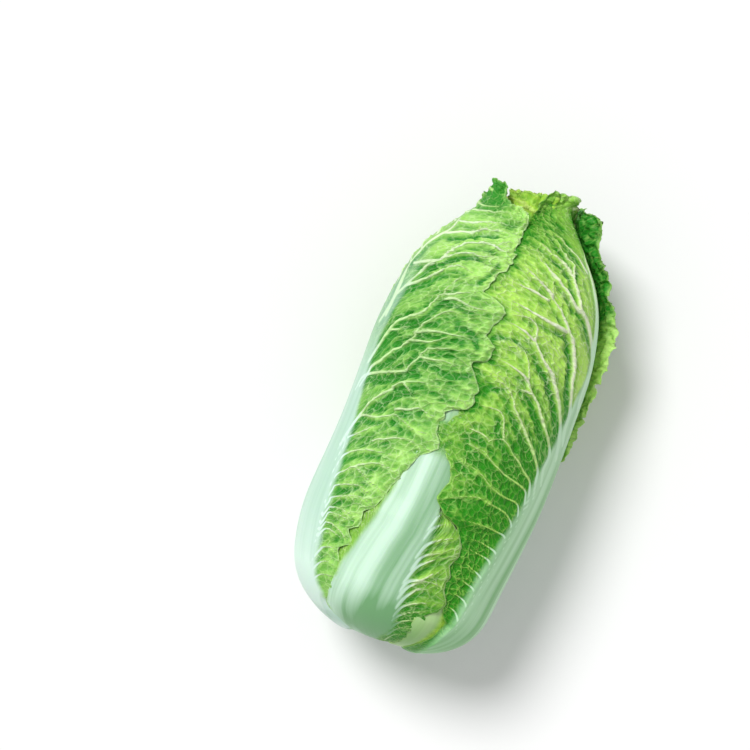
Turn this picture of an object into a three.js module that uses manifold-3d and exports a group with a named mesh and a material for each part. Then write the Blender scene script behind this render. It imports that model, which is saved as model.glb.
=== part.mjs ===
// A Chinese (napa) cabbage head lying on its side.
// Millimetres. +Y runs from the cut butt to the crown, +Z is up and +X is to the right when the head is
// looked down on with its crown away from the viewer. The origin is on the table, under the middle of the head.
//
// The head is a short stem, six outer leaves, three inner leaves and the packed heart. Every leaf is a thin
// shell on one barrel-shaped reference surface. Azimuth is in degrees round the head's axis: 0 faces up and
// 90 faces +X. A leaf's depth is how far below the reference surface it lies, so that one leaf tucks under
// the next. Its blade is thin, its midrib is thick on the inside, and its side veins stand out as ridges.
import * as THREE from "three";
import { mergeVertices } from "three/addons/utils/BufferGeometryUtils.js";
import Module from "manifold-3d";

// Driving dimensions.
const FLATTENING = 0.93; // the head's height against its width, as it lies
const AXIS = -5; // x of the head's axis while its leaves are laid out
const FOOT_SWAY = -6; // the foot of the head bulges this far to the left
const FOOT_SWAY_HEIGHT = 60;
const FOOT_SWAY_SPREAD = 50;
const BLADE = 0.8; // thickness of a blade
const RIB_CROWN = 0.8; // how far a midrib's back stands out
const CRUMPLE = 0.5; // how unevenly a blade lies
const FLAT = 1.6; // how much the resting side is pressed flat
const CORE_DEPTH = 19.5; // depth of the packed heart below the reference surface
const SEED = 7;

// The barrel's outline: [half-width, height above the butt].
const OUTLINE = [
  [17.5, 9.4], [22, 7], [30, 7.4], [42, 12.6], [51.5, 19.6], [58.5, 28], [63.5, 38.5], [66.6, 54],
  [68.9, 76], [69.5, 104], [69.2, 140], [69.3, 176], [69.3, 204], [67.2, 224], [63, 243], [55.5, 260],
  [45, 274], [35, 286], [28, 295], [25, 303], [24, 313],
];

const rad = THREE.MathUtils.degToRad;
const { clamp, lerp, smoothstep } = THREE.MathUtils;

// The outline as a curve measured by its length, from the butt to the crown.
const outline = new THREE.SplineCurve(OUTLINE.map(([r, h]) => new THREE.Vector2(r, h)));
outline.arcLengthDivisions = 600;
const OUTLINE_LENGTH = outline.getLength();
const LOWEST = OUTLINE[1][1];

// Straight lines between [at, value] knots.
function knots(list, at) {
  if (typeof list === "number") return list;
  const next = list.findIndex(([a]) => a > at);
  if (next < 0) return list[list.length - 1][1];
  if (next === 0) return list[0][1];
  const [a0, v0] = list[next - 1];
  const [a1, v1] = list[next];
  return lerp(v0, v1, (at - a0) / (a1 - a0));
}

// Length along the outline at a height on the side of the head.
function stationAt(height) {
  let low = 0.03;
  let high = 1;
  for (let step = 0; step < 30; step++) {
    const middle = (low + high) / 2;
    if (outline.getPointAt(middle).y < height) low = middle;
    else high = middle;
  }
  return low * OUTLINE_LENGTH;
}

function swayAt(height) {
  return AXIS + FOOT_SWAY * Math.exp(-(((height - FOOT_SWAY_HEIGHT) / FOOT_SWAY_SPREAD) ** 2));
}

// A point of the head from its station along the outline, its azimuth and its depth.
function onHead(station, azimuth, depth) {
  const share = clamp(station / OUTLINE_LENGTH, 0, 1);
  const p = outline.getPointAt(share);
  const t = outline.getTangentAt(share);
  const r = Math.max(p.x - t.y * depth, 0.5);
  const height = p.y + t.x * depth;
  const a = rad(azimuth);
  return new THREE.Vector3(swayAt(height) + r * Math.sin(a), height, FLATTENING * r * Math.cos(a));
}

// The azimuth of a margin seen from above at x, at a height. Knots are [height, x].
function seenFromAbove(list) {
  return (height, station) => {
    const r = outline.getPointAt(clamp(station / OUTLINE_LENGTH, 0, 1)).x;
    const x = knots(list, height) - swayAt(height);
    return THREE.MathUtils.radToDeg(Math.asin(clamp(x / r, -0.999, 0.999)));
  };
}

// Leaves. rib: azimuth of the midrib by height. left and right: azimuth of the margins by height.
// ribWidth: half-width of the midrib. ribThick: how far it thickens inwards. vein: height of the side veins.
// depth: how deep the left margin, the midrib and the right margin lie. tip: height of the tip, from which
// the top margin falls by drop towards each side. frill: how far the waves of a margin swing outwards.
const LEAVES = [
  {
    name: "left_leaf",
    color: 0x7fc24a,
    rib: [[0, -78], [60, -78], [106, -81], [150, -83], [185, -82], [218, -71], [250, -66], [263, -60], [290, -60]],
    ribWidth: [
      [7, 7.6], [15, 20], [25, 28], [60, 31], [80, 31], [106, 28], [130, 24], [150, 20], [170, 15], [200, 8],
      [230, 4], [290, 2.5],
    ],
    ribThick: [[8, 6], [60, 6], [100, 5.5], [150, 4], [200, 2.4], [290, 0.6]],
    left: [[10, -108], [60, -108], [100, -111], [122, -113], [138, -132], [150, -146], [260, -150], [292, -140]],
    right: seenFromAbove([
      [15, -50], [20, -46], [28, -43], [40, -46], [57, -50], [61, -42], [69, -49], [76, -42], [85, -40], [91, -34],
      [103, -32], [115, -26], [126, -22], [132, -14], [138, -15], [145, -19], [152, -17], [159, -12], [166, 0],
      [175, 1], [184, -9], [190, -11], [196, 1], [203, 1], [208, -7], [216, -5], [223, 1], [231, -18], [238, -14],
      [244, -13], [253, -7], [272, -4], [285, -2], [292, -8],
    ]),
    vein: 1.8,
    depth: { left: [[100, 3], [130, 3.4]], rib: 0, right: [[0, -0.6], [130, -0.8], [160, -1]] },
    tip: 290,
    drop: { left: 6, right: 4 },
    frill: { left: 0, right: [[30, 0], [70, 2.5]], top: 2.5 },
    rows: 44,
    blades: 5,
  },
  {
    name: "right_leaf",
    color: 0x86c94c,
    rib: [
      [0, 68], [25, 70], [60, 73], [100, 77], [125, 79], [146, 81], [205, 81], [223, 78], [238, 75], [253, 70],
      [266, 65], [288, 64], [297, 57],
    ],
    ribWidth: [
      [7, 7.4], [15, 22], [25, 29], [60, 32.5], [100, 33], [120, 31], [146, 28], [158, 23], [173, 19], [196, 12],
      [210, 8], [225, 5], [260, 4], [300, 2.5],
    ],
    ribThick: [[8, 6], [60, 6], [100, 5.5], [150, 4], [200, 2.4], [300, 0.6]],
    left: seenFromAbove([
      [8, 9], [14, 17], [20, 23], [29, 28], [32, 29], [37, 26], [45, 22], [60, 18], [86, 19], [92, 17], [97, 11],
      [100, 5], [103, -1], [106, -4], [110, -2], [116, 0], [122, 0], [128, -2], [133, -6], [144, -11], [152, -9], [158, -9], [170, -15],
      [270, -15], [300, -8],
    ]),
    right: [[10, 99], [60, 103], [100, 108], [150, 112], [200, 112], [250, 108], [300, 92]],
    vein: 1.8,
    depth: { left: [[0, 1], [25, 1.4], [40, 5], [92, 5], [101, -0.6], [124, -0.2], [136, 3.6]], rib: 0, right: 3 },
    tip: 300,
    drop: { left: 17, right: 8 },
    frill: { left: 0, right: 0, top: 2 },
    rows: 44,
    blades: 5,
  },
  {
    name: "front_leaf",
    color: 0xa4d873,
    rib: [[0, -22], [20, -20.7], [30, -18], [40, -15], [50, -13], [60, -10.7], [80, -7.2], [100, -6.3], [240, -6]],
    ribWidth: [
      [7, 8], [15, 19.5], [20, 23.5], [30, 23.5], [40, 22], [60, 19.6], [80, 17.8], [100, 15.8], [110, 15], [130, 12],
      [160, 8], [240, 3],
    ],
    ribThick: [[8, 4.5], [60, 4.5], [100, 3.8], [130, 2], [160, 1], [240, 0.3]],
    left: [[12, -50], [20, -50], [40, -44], [100, -45], [150, -55], [240, -50]],
    right: seenFromAbove([
      [7, -4], [9, 3], [12, 6], [16, 9], [20, 8], [26, 13], [28, 22], [33, 14], [38, 22], [44, 26], [52, 21], [62, 22], [68, 19],
      [75, 23], [82, 22], [88, 19], [93, 12], [97, 4], [100, 1], [108, 4], [130, 30], [150, 34], [240, 30],
    ]),
    vein: 1.8,
    depth: {
      left: [[0, 1], [13, 1], [22, 3.6], [100, 3.6], [135, 8.2]],
      rib: [[0, 1.6], [30, 2.2], [86, 2.2], [98, 3.6], [112, 4.6], [135, 8.2]],
      right: [[0, 1.2], [86, 1.2], [97, 4.2], [118, 4.8], [135, 8.2]],
    },
    tip: 240,
    drop: { left: 20, right: 20 },
    frill: { left: 0, right: [[0, 0], [18, 1.6], [84, 1], [90, 0]], top: 0 },
    rows: 30,
    blades: 4,
  },
  {
    name: "rear_right_leaf",
    color: 0x3f9a3a,
    rib: [[0, 125], [25, 126], [60, 128], [200, 124], [310, 112]],
    ribWidth: [[7, 7.2], [15, 17], [25, 22.5], [60, 25], [100, 23], [150, 14], [200, 8], [310, 2.5]],
    ribThick: [[8, 6], [60, 6], [100, 5.5], [150, 4], [200, 2.4], [310, 0.6]],
    left: [
      [10, 101], [60, 106], [100, 107], [138, 104], [146, 94], [180, 90], [212, 88], [240, 85], [270, 74],
      [285, 64], [300, 50], [312, 42],
    ],
    right: [[10, 150], [60, 151], [100, 151], [150, 160], [310, 160]],
    vein: 1.8,
    depth: {
      left: [[100, 0], [116, -3], [134, -8.5], [180, -8], [212, -8], [240, -9], [260, -12], [280, -13], [297, -16], [310, -13]],
      rib: 0,
      right: 3.4,
    },
    tip: 310,
    drop: { left: 2, right: 8 },
    frill: { left: [[120, 0], [150, 2], [200, 4.5], [310, 6]], right: 0, top: 6 },
    rows: 46,
    blades: 5,
  },
  {
    name: "under_leaf",
    color: 0x5aa83f,
    rib: [[0, 179], [300, 176]],
    ribWidth: [[7, 7.4], [15, 19], [25, 26], [60, 28], [100, 25], [150, 16], [200, 10], [300, 3]],
    ribThick: [[8, 6], [60, 6], [100, 5.5], [150, 4], [200, 3], [300, 0.6]],
    left: [[10, 153], [60, 153], [100, 150], [150, 139], [300, 137]],
    right: [[10, 206], [60, 206], [100, 211], [150, 224], [200, 232], [300, 228]],
    vein: 1.8,
    depth: { left: [[0, 0], [100, -1.6], [300, -2]], rib: 0, right: [[0, 0], [100, -0.8]] },
    tip: 300,
    drop: { left: 8, right: 8 },
    frill: { left: [[60, 0], [120, 2]], right: [[60, 0], [120, 2.5]], top: 2.5 },
    rows: 28,
    blades: 4,
  },
  {
    name: "rear_left_leaf",
    color: 0x95cf62,
    rib: [[0, -130], [240, -131]],
    ribWidth: [[7, 6.6], [15, 15], [25, 20], [60, 22], [100, 18], [150, 10], [240, 3]],
    ribThick: [[8, 4.5], [60, 4.5], [100, 3.8], [130, 2], [160, 1], [240, 0.3]],
    left: [[10, -152], [60, -153], [100, -156], [150, -166], [240, -160]],
    right: [[10, -112], [70, -112], [100, -108], [150, -98], [240, -98]],
    vein: 1.2,
    depth: {
      left: [[0, 3.4], [100, 3.4], [135, 8.2]],
      rib: [[0, 2.6], [90, 2.6], [110, 3.8], [135, 8.2]],
      right: [[0, 6.7], [115, 8.6]],
    },
    tip: 240,
    drop: { left: 20, right: 20 },
    frill: { left: 0, right: 0, top: 0 },
    rows: 20,
    blades: 3,
  },
  {
    name: "inner_leaf_1",
    color: 0xb6e05a,
    rib: [[0, 25], [300, 26]],
    ribWidth: [[12, 4], [20, 6.5], [40, 10], [100, 12], [200, 6], [300, 2.5]],
    ribThick: [[12, 3], [100, 2], [300, 0.4]],
    left: [[12, 8], [40, 4], [80, -30], [290, -35], [303, -30]],
    right: [[12, 38], [20, 39], [40, 42], [80, 70], [130, 95], [280, 95], [303, 80]],
    vein: 0.8,
    depth: {
      left: [[0, 3], [30, 4.8], [60, 15.4], [285, 15.4], [303, 11]],
      rib: [[0, 2], [15, 3], [30, 3.6], [40, 9.6], [130, 12.6], [285, 12], [303, 6]],
      right: [[0, 2.6], [26, 4.4], [36, 8.4], [60, 12.4], [285, 12], [303, 8]],
    },
    start: 3,
    tip: 302,
    drop: { left: 5, right: 5 },
    frill: { left: 0, right: 0, top: 3 },
    rows: 17,
    blades: 4,
  },
  {
    name: "inner_leaf_2",
    color: 0xbfe468,
    rib: [[0, 150], [300, 150]],
    ribWidth: [[12, 8], [40, 12], [100, 10], [200, 6], [300, 2.5]],
    ribThick: [[12, 2.4], [100, 2], [300, 0.4]],
    left: [[12, 130], [40, 110], [80, 85], [290, 85], [307, 92]],
    right: [[12, 168], [40, 190], [80, 212], [290, 212], [307, 200]],
    vein: 0.8,
    depth: { left: [[285, 15], [301, 9]], rib: [[285, 12], [301, 7]], right: [[285, 11.8], [301, 7.4]] },
    start: 14,
    tip: 301,
    drop: { left: 4, right: 4 },
    frill: { left: 0, right: 0, top: 3 },
    rows: 16,
    blades: 4,
  },
  {
    name: "inner_leaf_3",
    color: 0xa6d852,
    rib: [[0, -95], [300, -95]],
    ribWidth: [[12, 8], [40, 12], [100, 10], [200, 6], [300, 2.5]],
    ribThick: [[12, 2.4], [100, 2], [300, 0.4]],
    left: [[12, -116], [40, -140], [80, -156], [290, -156], [304, -148]],
    right: [[12, -76], [40, -52], [80, -27], [290, -27], [304, -38]],
    vein: 0.8,
    depth: { left: [[285, 15.6], [303, 11]], rib: [[285, 12], [296, 6], [304, 1]], right: [[285, 12], [303, 8]] },
    start: 14,
    tip: 304,
    drop: { left: 5, right: 5 },
    frill: { left: 0, right: 0, top: 3.5 },
    rows: 17,
    blades: 4,
  },
];

const RIB_STEPS = 2; // facets from a midrib's middle to its border
const ROW_SLANT = 34; // how far a side vein climbs from the midrib to the margin
const WAVE_LENGTH = 17; // from one wave of a margin to the next
const TOP_BAND = 24; // how far down from the tip the top margin's waves reach

const outgoing = (share) => 1 - (1 - share) ** 3;

// A repeatable number from 0 to 1 for each pair of whole numbers.
function chance(a, b) {
  const n = Math.sin(a * 127.1 + b * 311.7 + SEED) * 43758.5453;
  return n - Math.floor(n);
}

// The leaf's columns: [side, share of the midrib crossed, share of the blade crossed], left to right.
function columnsOf(leaf) {
  const half = [];
  for (let k = 1; k <= RIB_STEPS; k++) half.push([k / RIB_STEPS, 0]);
  for (let k = 1; k <= leaf.blades; k++) half.push([1, k / leaf.blades]);
  const left = half.map(([rib, blade]) => [-1, rib, blade]).reverse();
  return [...left, [0, 0, 0], ...half.map(([rib, blade]) => [1, rib, blade])];
}

// The two faces of a leaf at one row and column: its back, which faces out, and its inner face.
function leafPoint(leaf, row, column, [side, ribShare, bladeShare]) {
  const along = row / leaf.rows;
  const isLeft = side < 0;
  const drop = isLeft ? leaf.drop.left : leaf.drop.right;
  const tip = stationAt(leaf.tip) - drop * bladeShare ** 2;
  const climb = Math.sin(Math.PI * along) * smoothstep(along, 0.1, 0.5);
  const station = lerp(leaf.start ?? 0, tip, along) + ROW_SLANT * climb * (1 - (1 - bladeShare) ** 2);
  const { x: r, y: rawHeight } = outline.getPointAt(clamp(station / OUTLINE_LENGTH, 0, 1));
  const height = station < 12 ? LOWEST : rawHeight;

  const rib = knots(leaf.rib, height);
  const ribAngle = THREE.MathUtils.radToDeg(knots(leaf.ribWidth, height) / r);
  const margin = isLeft ? leaf.left : leaf.right;
  const marginAngle = typeof margin === "function" ? margin(height, station) : knots(margin, height);
  const reach = Math.max(side * (marginAngle - rib), ribAngle + 1.5);
  const azimuth = rib + side * (ribShare * ribAngle + bladeShare * (reach - ribAngle));

  const middle = knots(leaf.depth.rib, height);
  const edge = side ? knots(isLeft ? leaf.depth.left : leaf.depth.right, height) : middle;
  const lie = lerp(middle, edge, edge > middle ? outgoing(bladeShare) : bladeShare ** 2);

  const onBlade = smoothstep(bladeShare, 0, 0.3) * smoothstep(height, 20, 60);
  const valley = row % 2 && row < leaf.rows ? leaf.vein : 0;
  const crumple = CRUMPLE * chance(row, column);
  const ribForm = (1 - ribShare ** 2) ** 1.5;
  const thick = BLADE + ribForm * knots(leaf.ribThick, height);

  const sideFrill = side ? knots(isLeft ? leaf.frill.left : leaf.frill.right, height) : 0;
  const sideSwing = sideFrill * smoothstep(bladeShare, 0.55, 1) ** 2;
  const sideWave = 0.5 + 0.5 * Math.sin((2 * Math.PI * station) / WAVE_LENGTH + rib);
  const topSwing = leaf.frill.top * smoothstep(station, tip - TOP_BAND, tip) ** 2;
  const topWave = 0.5 + 0.5 * Math.sin((2 * Math.PI * rad(azimuth) * r) / WAVE_LENGTH + 1);
  const swing = Math.max(sideSwing * sideWave, topSwing * topWave);

  const face = lie - swing + (valley + crumple) * onBlade;
  const crown = RIB_CROWN * ribForm * smoothstep(height, 8, 30);
  return [onHead(station, azimuth, face - crown), onHead(station, azimuth, face + thick)];
}

// A closed mesh from a grid of paired points. Both faces are split along the same diagonals.
function shell(rows, columns, pointAt) {
  const position = [];
  const index = [];
  for (let i = 0; i <= rows; i++)
    for (let j = 0; j < columns; j++) for (const p of pointAt(i, j)) position.push(p.x, p.y, p.z);
  const at = (i, j, face) => (i * columns + j) * 2 + face;
  const quad = (a, b, c, d) => index.push(a, b, c, a, c, d);
  for (let i = 0; i < rows; i++)
    for (let j = 0; j < columns - 1; j++) {
      quad(at(i, j, 0), at(i, j + 1, 0), at(i + 1, j + 1, 0), at(i + 1, j, 0));
      index.push(at(i, j, 1), at(i + 1, j + 1, 1), at(i, j + 1, 1));
      index.push(at(i, j, 1), at(i + 1, j, 1), at(i + 1, j + 1, 1));
    }
  for (let j = 0; j < columns - 1; j++) {
    quad(at(0, j, 1), at(0, j + 1, 1), at(0, j + 1, 0), at(0, j, 0));
    quad(at(rows, j, 0), at(rows, j + 1, 0), at(rows, j + 1, 1), at(rows, j, 1));
  }
  const last = columns - 1;
  for (let i = 0; i < rows; i++) {
    quad(at(i, 0, 0), at(i + 1, 0, 0), at(i + 1, 0, 1), at(i, 0, 1));
    quad(at(i, last, 1), at(i + 1, last, 1), at(i + 1, last, 0), at(i, last, 0));
  }
  const geometry = new THREE.BufferGeometry();
  geometry.setAttribute("position", new THREE.Float32BufferAttribute(position, 3));
  geometry.setIndex(index);
  return geometry;
}

const FLOOR = -FLATTENING * 69.3 - RIB_CROWN + FLAT;

// Presses what would sink into the table flat against it.
function rested(geometry) {
  const p = geometry.getAttribute("position");
  for (let i = 0; i < p.count; i++) p.setZ(i, Math.max(p.getZ(i), FLOOR));
  return geometry;
}

function part(name, color, geometry, roughness = 0.5) {
  geometry.computeVertexNormals();
  const material = new THREE.MeshStandardMaterial({ color, roughness, metalness: 0 });
  const mesh = new THREE.Mesh(geometry, material);
  mesh.name = name;
  return mesh;
}

function leafMesh(leaf) {
  const columns = columnsOf(leaf);
  const geometry = shell(leaf.rows, columns.length, (i, j) => leafPoint(leaf, i, j, columns[j]));
  return part(leaf.name, leaf.color, rested(geometry));
}

// The stem: a short cone with a flat cut face, which every leaf grows from.
const STEM = [[0, 9.4], [16, 9.4], [16.8, 10.6], [17, 13], [20, 18], [20, 22], [17, 28], [0, 28]];
const STEM_SIDES = 24;

function lathed(profile, sides) {
  const geometry = new THREE.LatheGeometry(profile.map(([r, h]) => new THREE.Vector2(r, h)), sides);
  geometry.deleteAttribute("uv");
  geometry.deleteAttribute("normal");
  return mergeVertices(geometry, 1e-4);
}

function stemMesh() {
  const geometry = lathed(STEM, STEM_SIDES).scale(1, 1, FLATTENING).translate(swayAt(15), 0, 0);
  return part("stem", 0xe6ecd0, geometry, 0.6);
}

// The heart: the packed young leaves as one core, and their crumpled tips standing out of its top.
const HEART_SIDES = 20;
const HEART_TOP = 279;
const TIPS = 6;
const TIP_TURN = 137.5; // from one leaf to the next up the stem
const TIP_ROWS = 6;
const TIP_COLUMNS = 12;
const TIP_SPREAD = 70; // half of the turn that one tip takes
const TIP_ROOT = 262;
const TIP_TOP = 309;
const TIP_BLADE = 1;
const TIP_FLARE = 13; // how far the outermost tip folds outwards
const TIP_RUFFLE = 2.2;

const wasm = await Module();
wasm.setup();

function solidOf(geometry) {
  const mesh = new wasm.Mesh({
    numProp: 3,
    vertProperties: new Float32Array(geometry.getAttribute("position").array),
    triVerts: new Uint32Array(geometry.index.array),
  });
  return new wasm.Manifold(mesh);
}

function geometryOf(solid) {
  const { vertProperties, triVerts } = solid.getMesh();
  const geometry = new THREE.BufferGeometry();
  geometry.setAttribute("position", new THREE.BufferAttribute(vertProperties, 3));
  geometry.setIndex(new THREE.BufferAttribute(triVerts, 1));
  return geometry;
}

function heartCore() {
  const profile = [[0, 29], [26, 29], [44, 37]];
  for (const height of [58, 90, 200, 232, 255]) {
    const share = stationAt(height) / OUTLINE_LENGTH;
    const p = outline.getPointAt(share);
    const t = outline.getTangentAt(share);
    profile.push([p.x - t.y * CORE_DEPTH, p.y + t.x * CORE_DEPTH]);
  }
  profile.push([16, HEART_TOP - 3], [0, HEART_TOP]);
  const geometry = lathed(profile, HEART_SIDES);
  const p = geometry.getAttribute("position");
  for (let i = 0; i < p.count; i++) {
    p.setX(i, p.getX(i) + swayAt(p.getY(i)));
    p.setZ(i, p.getZ(i) * FLATTENING);
  }
  return solidOf(geometry);
}

// One tip is a ruffled sheet wrapped part of the way round the axis. The outer tips fold outwards more.
function heartTip(k) {
  const middle = TIP_TURN * k + SEED;
  const outer = k / (TIPS - 1);
  const top = TIP_TOP - 7 * outer;
  return solidOf(
    shell(TIP_ROWS, TIP_COLUMNS, (i, j) => {
      const up = (i / TIP_ROWS) ** 0.7;
      const across = (2 * j) / (TIP_COLUMNS - 1) - 1;
      const height = lerp(TIP_ROOT, top - 6 * across ** 2, up) + 2.5 * up * (chance(j, k) - 0.5);
      const ruffle = TIP_RUFFLE * Math.sin(across * 8 + 2 * k) * up ** 4;
      const flare = TIP_FLARE * (0.25 + 0.75 * outer) * smoothstep(height, TIP_TOP - 20, TIP_TOP) ** 1.5;
      const r = 2.6 + 6.4 * outer + ruffle * (0.3 + 0.7 * outer) + flare;
      const a = rad(middle + across * TIP_SPREAD * (1 - 0.25 * up ** 3));
      const place = (at) => new THREE.Vector3(swayAt(height) + at * Math.sin(a), height, FLATTENING * at * Math.cos(a));
      return [place(r + TIP_BLADE), place(r)];
    }),
  );
}

function heartMesh() {
  let solid = heartCore();
  for (let k = 0; k < TIPS; k++) solid = solid.add(heartTip(k));
  return part("heart", 0xd3e86f, geometryOf(solid));
}

const cabbage = new THREE.Group();
cabbage.add(stemMesh(), heartMesh(), ...LEAVES.map(leafMesh));
const box = new THREE.Box3().setFromObject(cabbage, true);
const centre = box.getCenter(new THREE.Vector3());
cabbage.position.set(-centre.x, -centre.y, -box.min.z);

export default cabbage;
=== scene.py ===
import math
from functools import partial

import bpy
import numpy as np
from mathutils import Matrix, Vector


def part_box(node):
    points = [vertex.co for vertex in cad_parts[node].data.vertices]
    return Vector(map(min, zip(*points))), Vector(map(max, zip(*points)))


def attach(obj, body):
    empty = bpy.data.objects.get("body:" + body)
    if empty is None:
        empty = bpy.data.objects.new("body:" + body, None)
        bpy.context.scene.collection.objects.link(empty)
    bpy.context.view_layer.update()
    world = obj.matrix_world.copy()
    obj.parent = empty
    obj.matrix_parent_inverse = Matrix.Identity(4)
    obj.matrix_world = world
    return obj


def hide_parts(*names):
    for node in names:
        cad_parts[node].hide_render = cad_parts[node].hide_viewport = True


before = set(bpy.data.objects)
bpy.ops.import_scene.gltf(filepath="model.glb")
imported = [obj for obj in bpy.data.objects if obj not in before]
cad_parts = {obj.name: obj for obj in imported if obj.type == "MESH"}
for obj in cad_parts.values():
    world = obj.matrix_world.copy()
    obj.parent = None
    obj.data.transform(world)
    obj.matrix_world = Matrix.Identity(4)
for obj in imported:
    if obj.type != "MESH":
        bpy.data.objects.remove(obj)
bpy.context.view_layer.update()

# The stem. A short white butt that every leaf grows from, cut across with a knife when the head is
# picked. The cut face is moist and cream, with a ring of leaf traces, and browns a little at its rim.
MM = 0.001
FLATTENING = 0.93  # the head's thickness against its width
AXIS = -5.0  # x of the head's axis, which sways by FOOT_SWAY round FOOT_SWAY_HEIGHT
FOOT_SWAY = -6.0
FOOT_SWAY_HEIGHT = 60.0
FOOT_SWAY_SPREAD = 50.0
STEM_BOTTOM = 9.4
STEM_MIDDLE = 15.0
STEM_RADIUS = 17.0
STEM_PROFILE = [
    (0.0, 9.9), (4.0, 9.8), (8.0, 9.75), (12.0, 9.6), (15.0, 9.45), (16.2, 9.5), (16.8, 10.1), (17.0, 11.0),
    (17.2, 13.0), (18.6, 16.0), (19.8, 18.5), (20.0, 22.0), (18.6, 25.5), (17.0, 27.9), (0.0, 28.0),
]
STEM_SIDES = 120
FACE_TOP = 10.0  # the cut face is what lies below this height


def sway(height):
    """The x of the head's axis at a height above the butt, in millimetres."""
    return AXIS + FOOT_SWAY * np.exp(-(((height - FOOT_SWAY_HEIGHT) / FOOT_SWAY_SPREAD) ** 2))


stem_low, stem_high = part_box("stem")
HEAD_ORIGIN = np.array([
    (stem_low[0] + stem_high[0]) / 2 - sway(STEM_MIDDLE) * MM,
    stem_low[1] - STEM_BOTTOM * MM,
    (stem_low[2] + stem_high[2]) / 2,
])


def to_scene(points):
    """Millimetres in the head's own axes to metres in the row frame."""
    return np.asarray(points, dtype=np.float64) * MM + HEAD_ORIGIN


def mesh_object(name, points, faces, attributes=None):
    """An object at the origin, its place in its mesh. attributes: name to one number or vector a point."""
    mesh = bpy.data.meshes.new(name)
    mesh.from_pydata(to_scene(points).tolist(), [], faces)
    for key, values in (attributes or {}).items():
        values = np.asarray(values, dtype=np.float32)
        is_vector = values.ndim == 2
        layer = mesh.attributes.new(key, "FLOAT_VECTOR" if is_vector else "FLOAT", "POINT")
        layer.data.foreach_set("vector" if is_vector else "value", values.ravel())
    mesh.polygons.foreach_set("use_smooth", [True] * len(mesh.polygons))
    mesh.update()
    piece = bpy.data.objects.new(name, mesh)
    bpy.context.scene.collection.objects.link(piece)
    return piece


def add(tree, kind, inputs=None, **settings):
    """A node with its settings, its inputs set to values or linked to other nodes' outputs."""
    node = tree.nodes.new(kind)
    for key, value in settings.items():
        setattr(node, key, value)
    for key, value in (inputs or {}).items():
        if isinstance(value, bpy.types.Node):
            value = next(out for out in value.outputs if out.enabled)
        if isinstance(value, bpy.types.NodeSocket):
            tree.links.new(value, node.inputs[key])
        else:
            node.inputs[key].default_value = value
    return node


def calc(tree, operation, *values, clamp=False):
    """One Math node."""
    return add(tree, "ShaderNodeMath", dict(enumerate(values)), operation=operation, use_clamp=clamp)


def ramp(tree, value, low, high, to_low=0.0, to_high=1.0):
    """A smooth step of a value from low to high, onto to_low to to_high."""
    inputs = {"Value": value, "From Min": low, "From Max": high, "To Min": to_low, "To Max": to_high}
    return add(tree, "ShaderNodeMapRange", inputs, interpolation_type="SMOOTHSTEP")


def blend(tree, factor, first, second):
    """A mix of two colours. The colours' sockets are the seventh and the eighth."""
    return add(tree, "ShaderNodeMix", {0: factor, 6: first, 7: second}, data_type="RGBA").outputs[2]


def lathe(profile, sides):
    """Points and faces of a closed turned form, its profile running from the axis and back to it."""
    turns = [2 * math.pi * k / sides for k in range(sides)]
    points = [(0.0, profile[0][1], 0.0)]
    for radius, height in profile[1:-1]:
        points += [(radius * math.sin(turn), height, FLATTENING * radius * math.cos(turn)) for turn in turns]
    points.append((0.0, profile[-1][1], 0.0))
    last = 1 + (len(profile) - 3) * sides
    faces = []
    for k in range(sides):
        after = (k + 1) % sides
        faces.append((0, 1 + after, 1 + k))
        for low in range(1, last, sides):
            faces.append((low + k, low + after, low + sides + after, low + sides + k))
        faces.append((last + k, last + after, len(points) - 1))
    return np.array(points), faces


stem_material = bpy.data.materials.new("stem_cut_flesh")
stem_material.use_nodes = True
tree = stem_material.node_tree
tree.nodes.clear()
place = add(tree, "ShaderNodeTexCoord").outputs["Object"]
fibre = add(tree, "ShaderNodeTexNoise", {"Vector": place, "Scale": 900.0, "Detail": 4.0})
patch = add(tree, "ShaderNodeTexNoise", {"Vector": place, "Scale": 160.0, "Detail": 3.0})
rim = add(tree, "ShaderNodeAttribute", attribute_name="rim")
traces = add(tree, "ShaderNodeAttribute", attribute_name="traces")
cream = blend(tree, ramp(tree, fibre, 0.35, 0.7), (0.74, 0.77, 0.52, 1), (0.86, 0.88, 0.7, 1))
traced = blend(tree, calc(tree, "MULTIPLY", traces.outputs["Fac"], 0.6), cream, (0.5, 0.6, 0.28, 1))
brown = calc(tree, "MULTIPLY", rim.outputs["Fac"], ramp(tree, patch, 0.4, 0.65), clamp=True)
browned = blend(tree, brown, traced, (0.42, 0.27, 0.1, 1))
relief = calc(tree, "ADD", fibre, patch)
bump = add(tree, "ShaderNodeBump", {"Height": relief, "Strength": 0.4, "Distance": 0.0006})
wet = ramp(tree, patch, 0.3, 0.7, 0.35, 0.6)
shader = add(tree, "ShaderNodeBsdfPrincipled", {
    "Base Color": browned, "Roughness": wet, "Normal": bump,
    "Subsurface Weight": 0.2, "Subsurface Scale": 0.003,
})
add(tree, "ShaderNodeOutputMaterial", {"Surface": shader})

points, faces = lathe(STEM_PROFILE, STEM_SIDES)
radius = np.hypot(points[:, 0], points[:, 2] / FLATTENING)
turn = np.arctan2(points[:, 0], points[:, 2])
on_face = points[:, 1] < FACE_TOP
points[:, 1] += np.where(on_face, 0.16 * np.sin(5 * turn + radius) * radius / STEM_RADIUS, 0.0)
points[:, 0] += sway(STEM_MIDDLE)
ring_of_traces = np.exp(-(((radius - 11.5) / 2.2) ** 2)) * (0.5 + 0.5 * np.cos(12 * turn)) * on_face
stem = mesh_object("stem_butt", points, faces, {
    "rim": np.clip((radius - 13.5) / 3.5, 0, 1),
    "traces": ring_of_traces,
})
stem.data.materials.append(stem_material)
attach(stem, "root")
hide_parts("stem")

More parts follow.
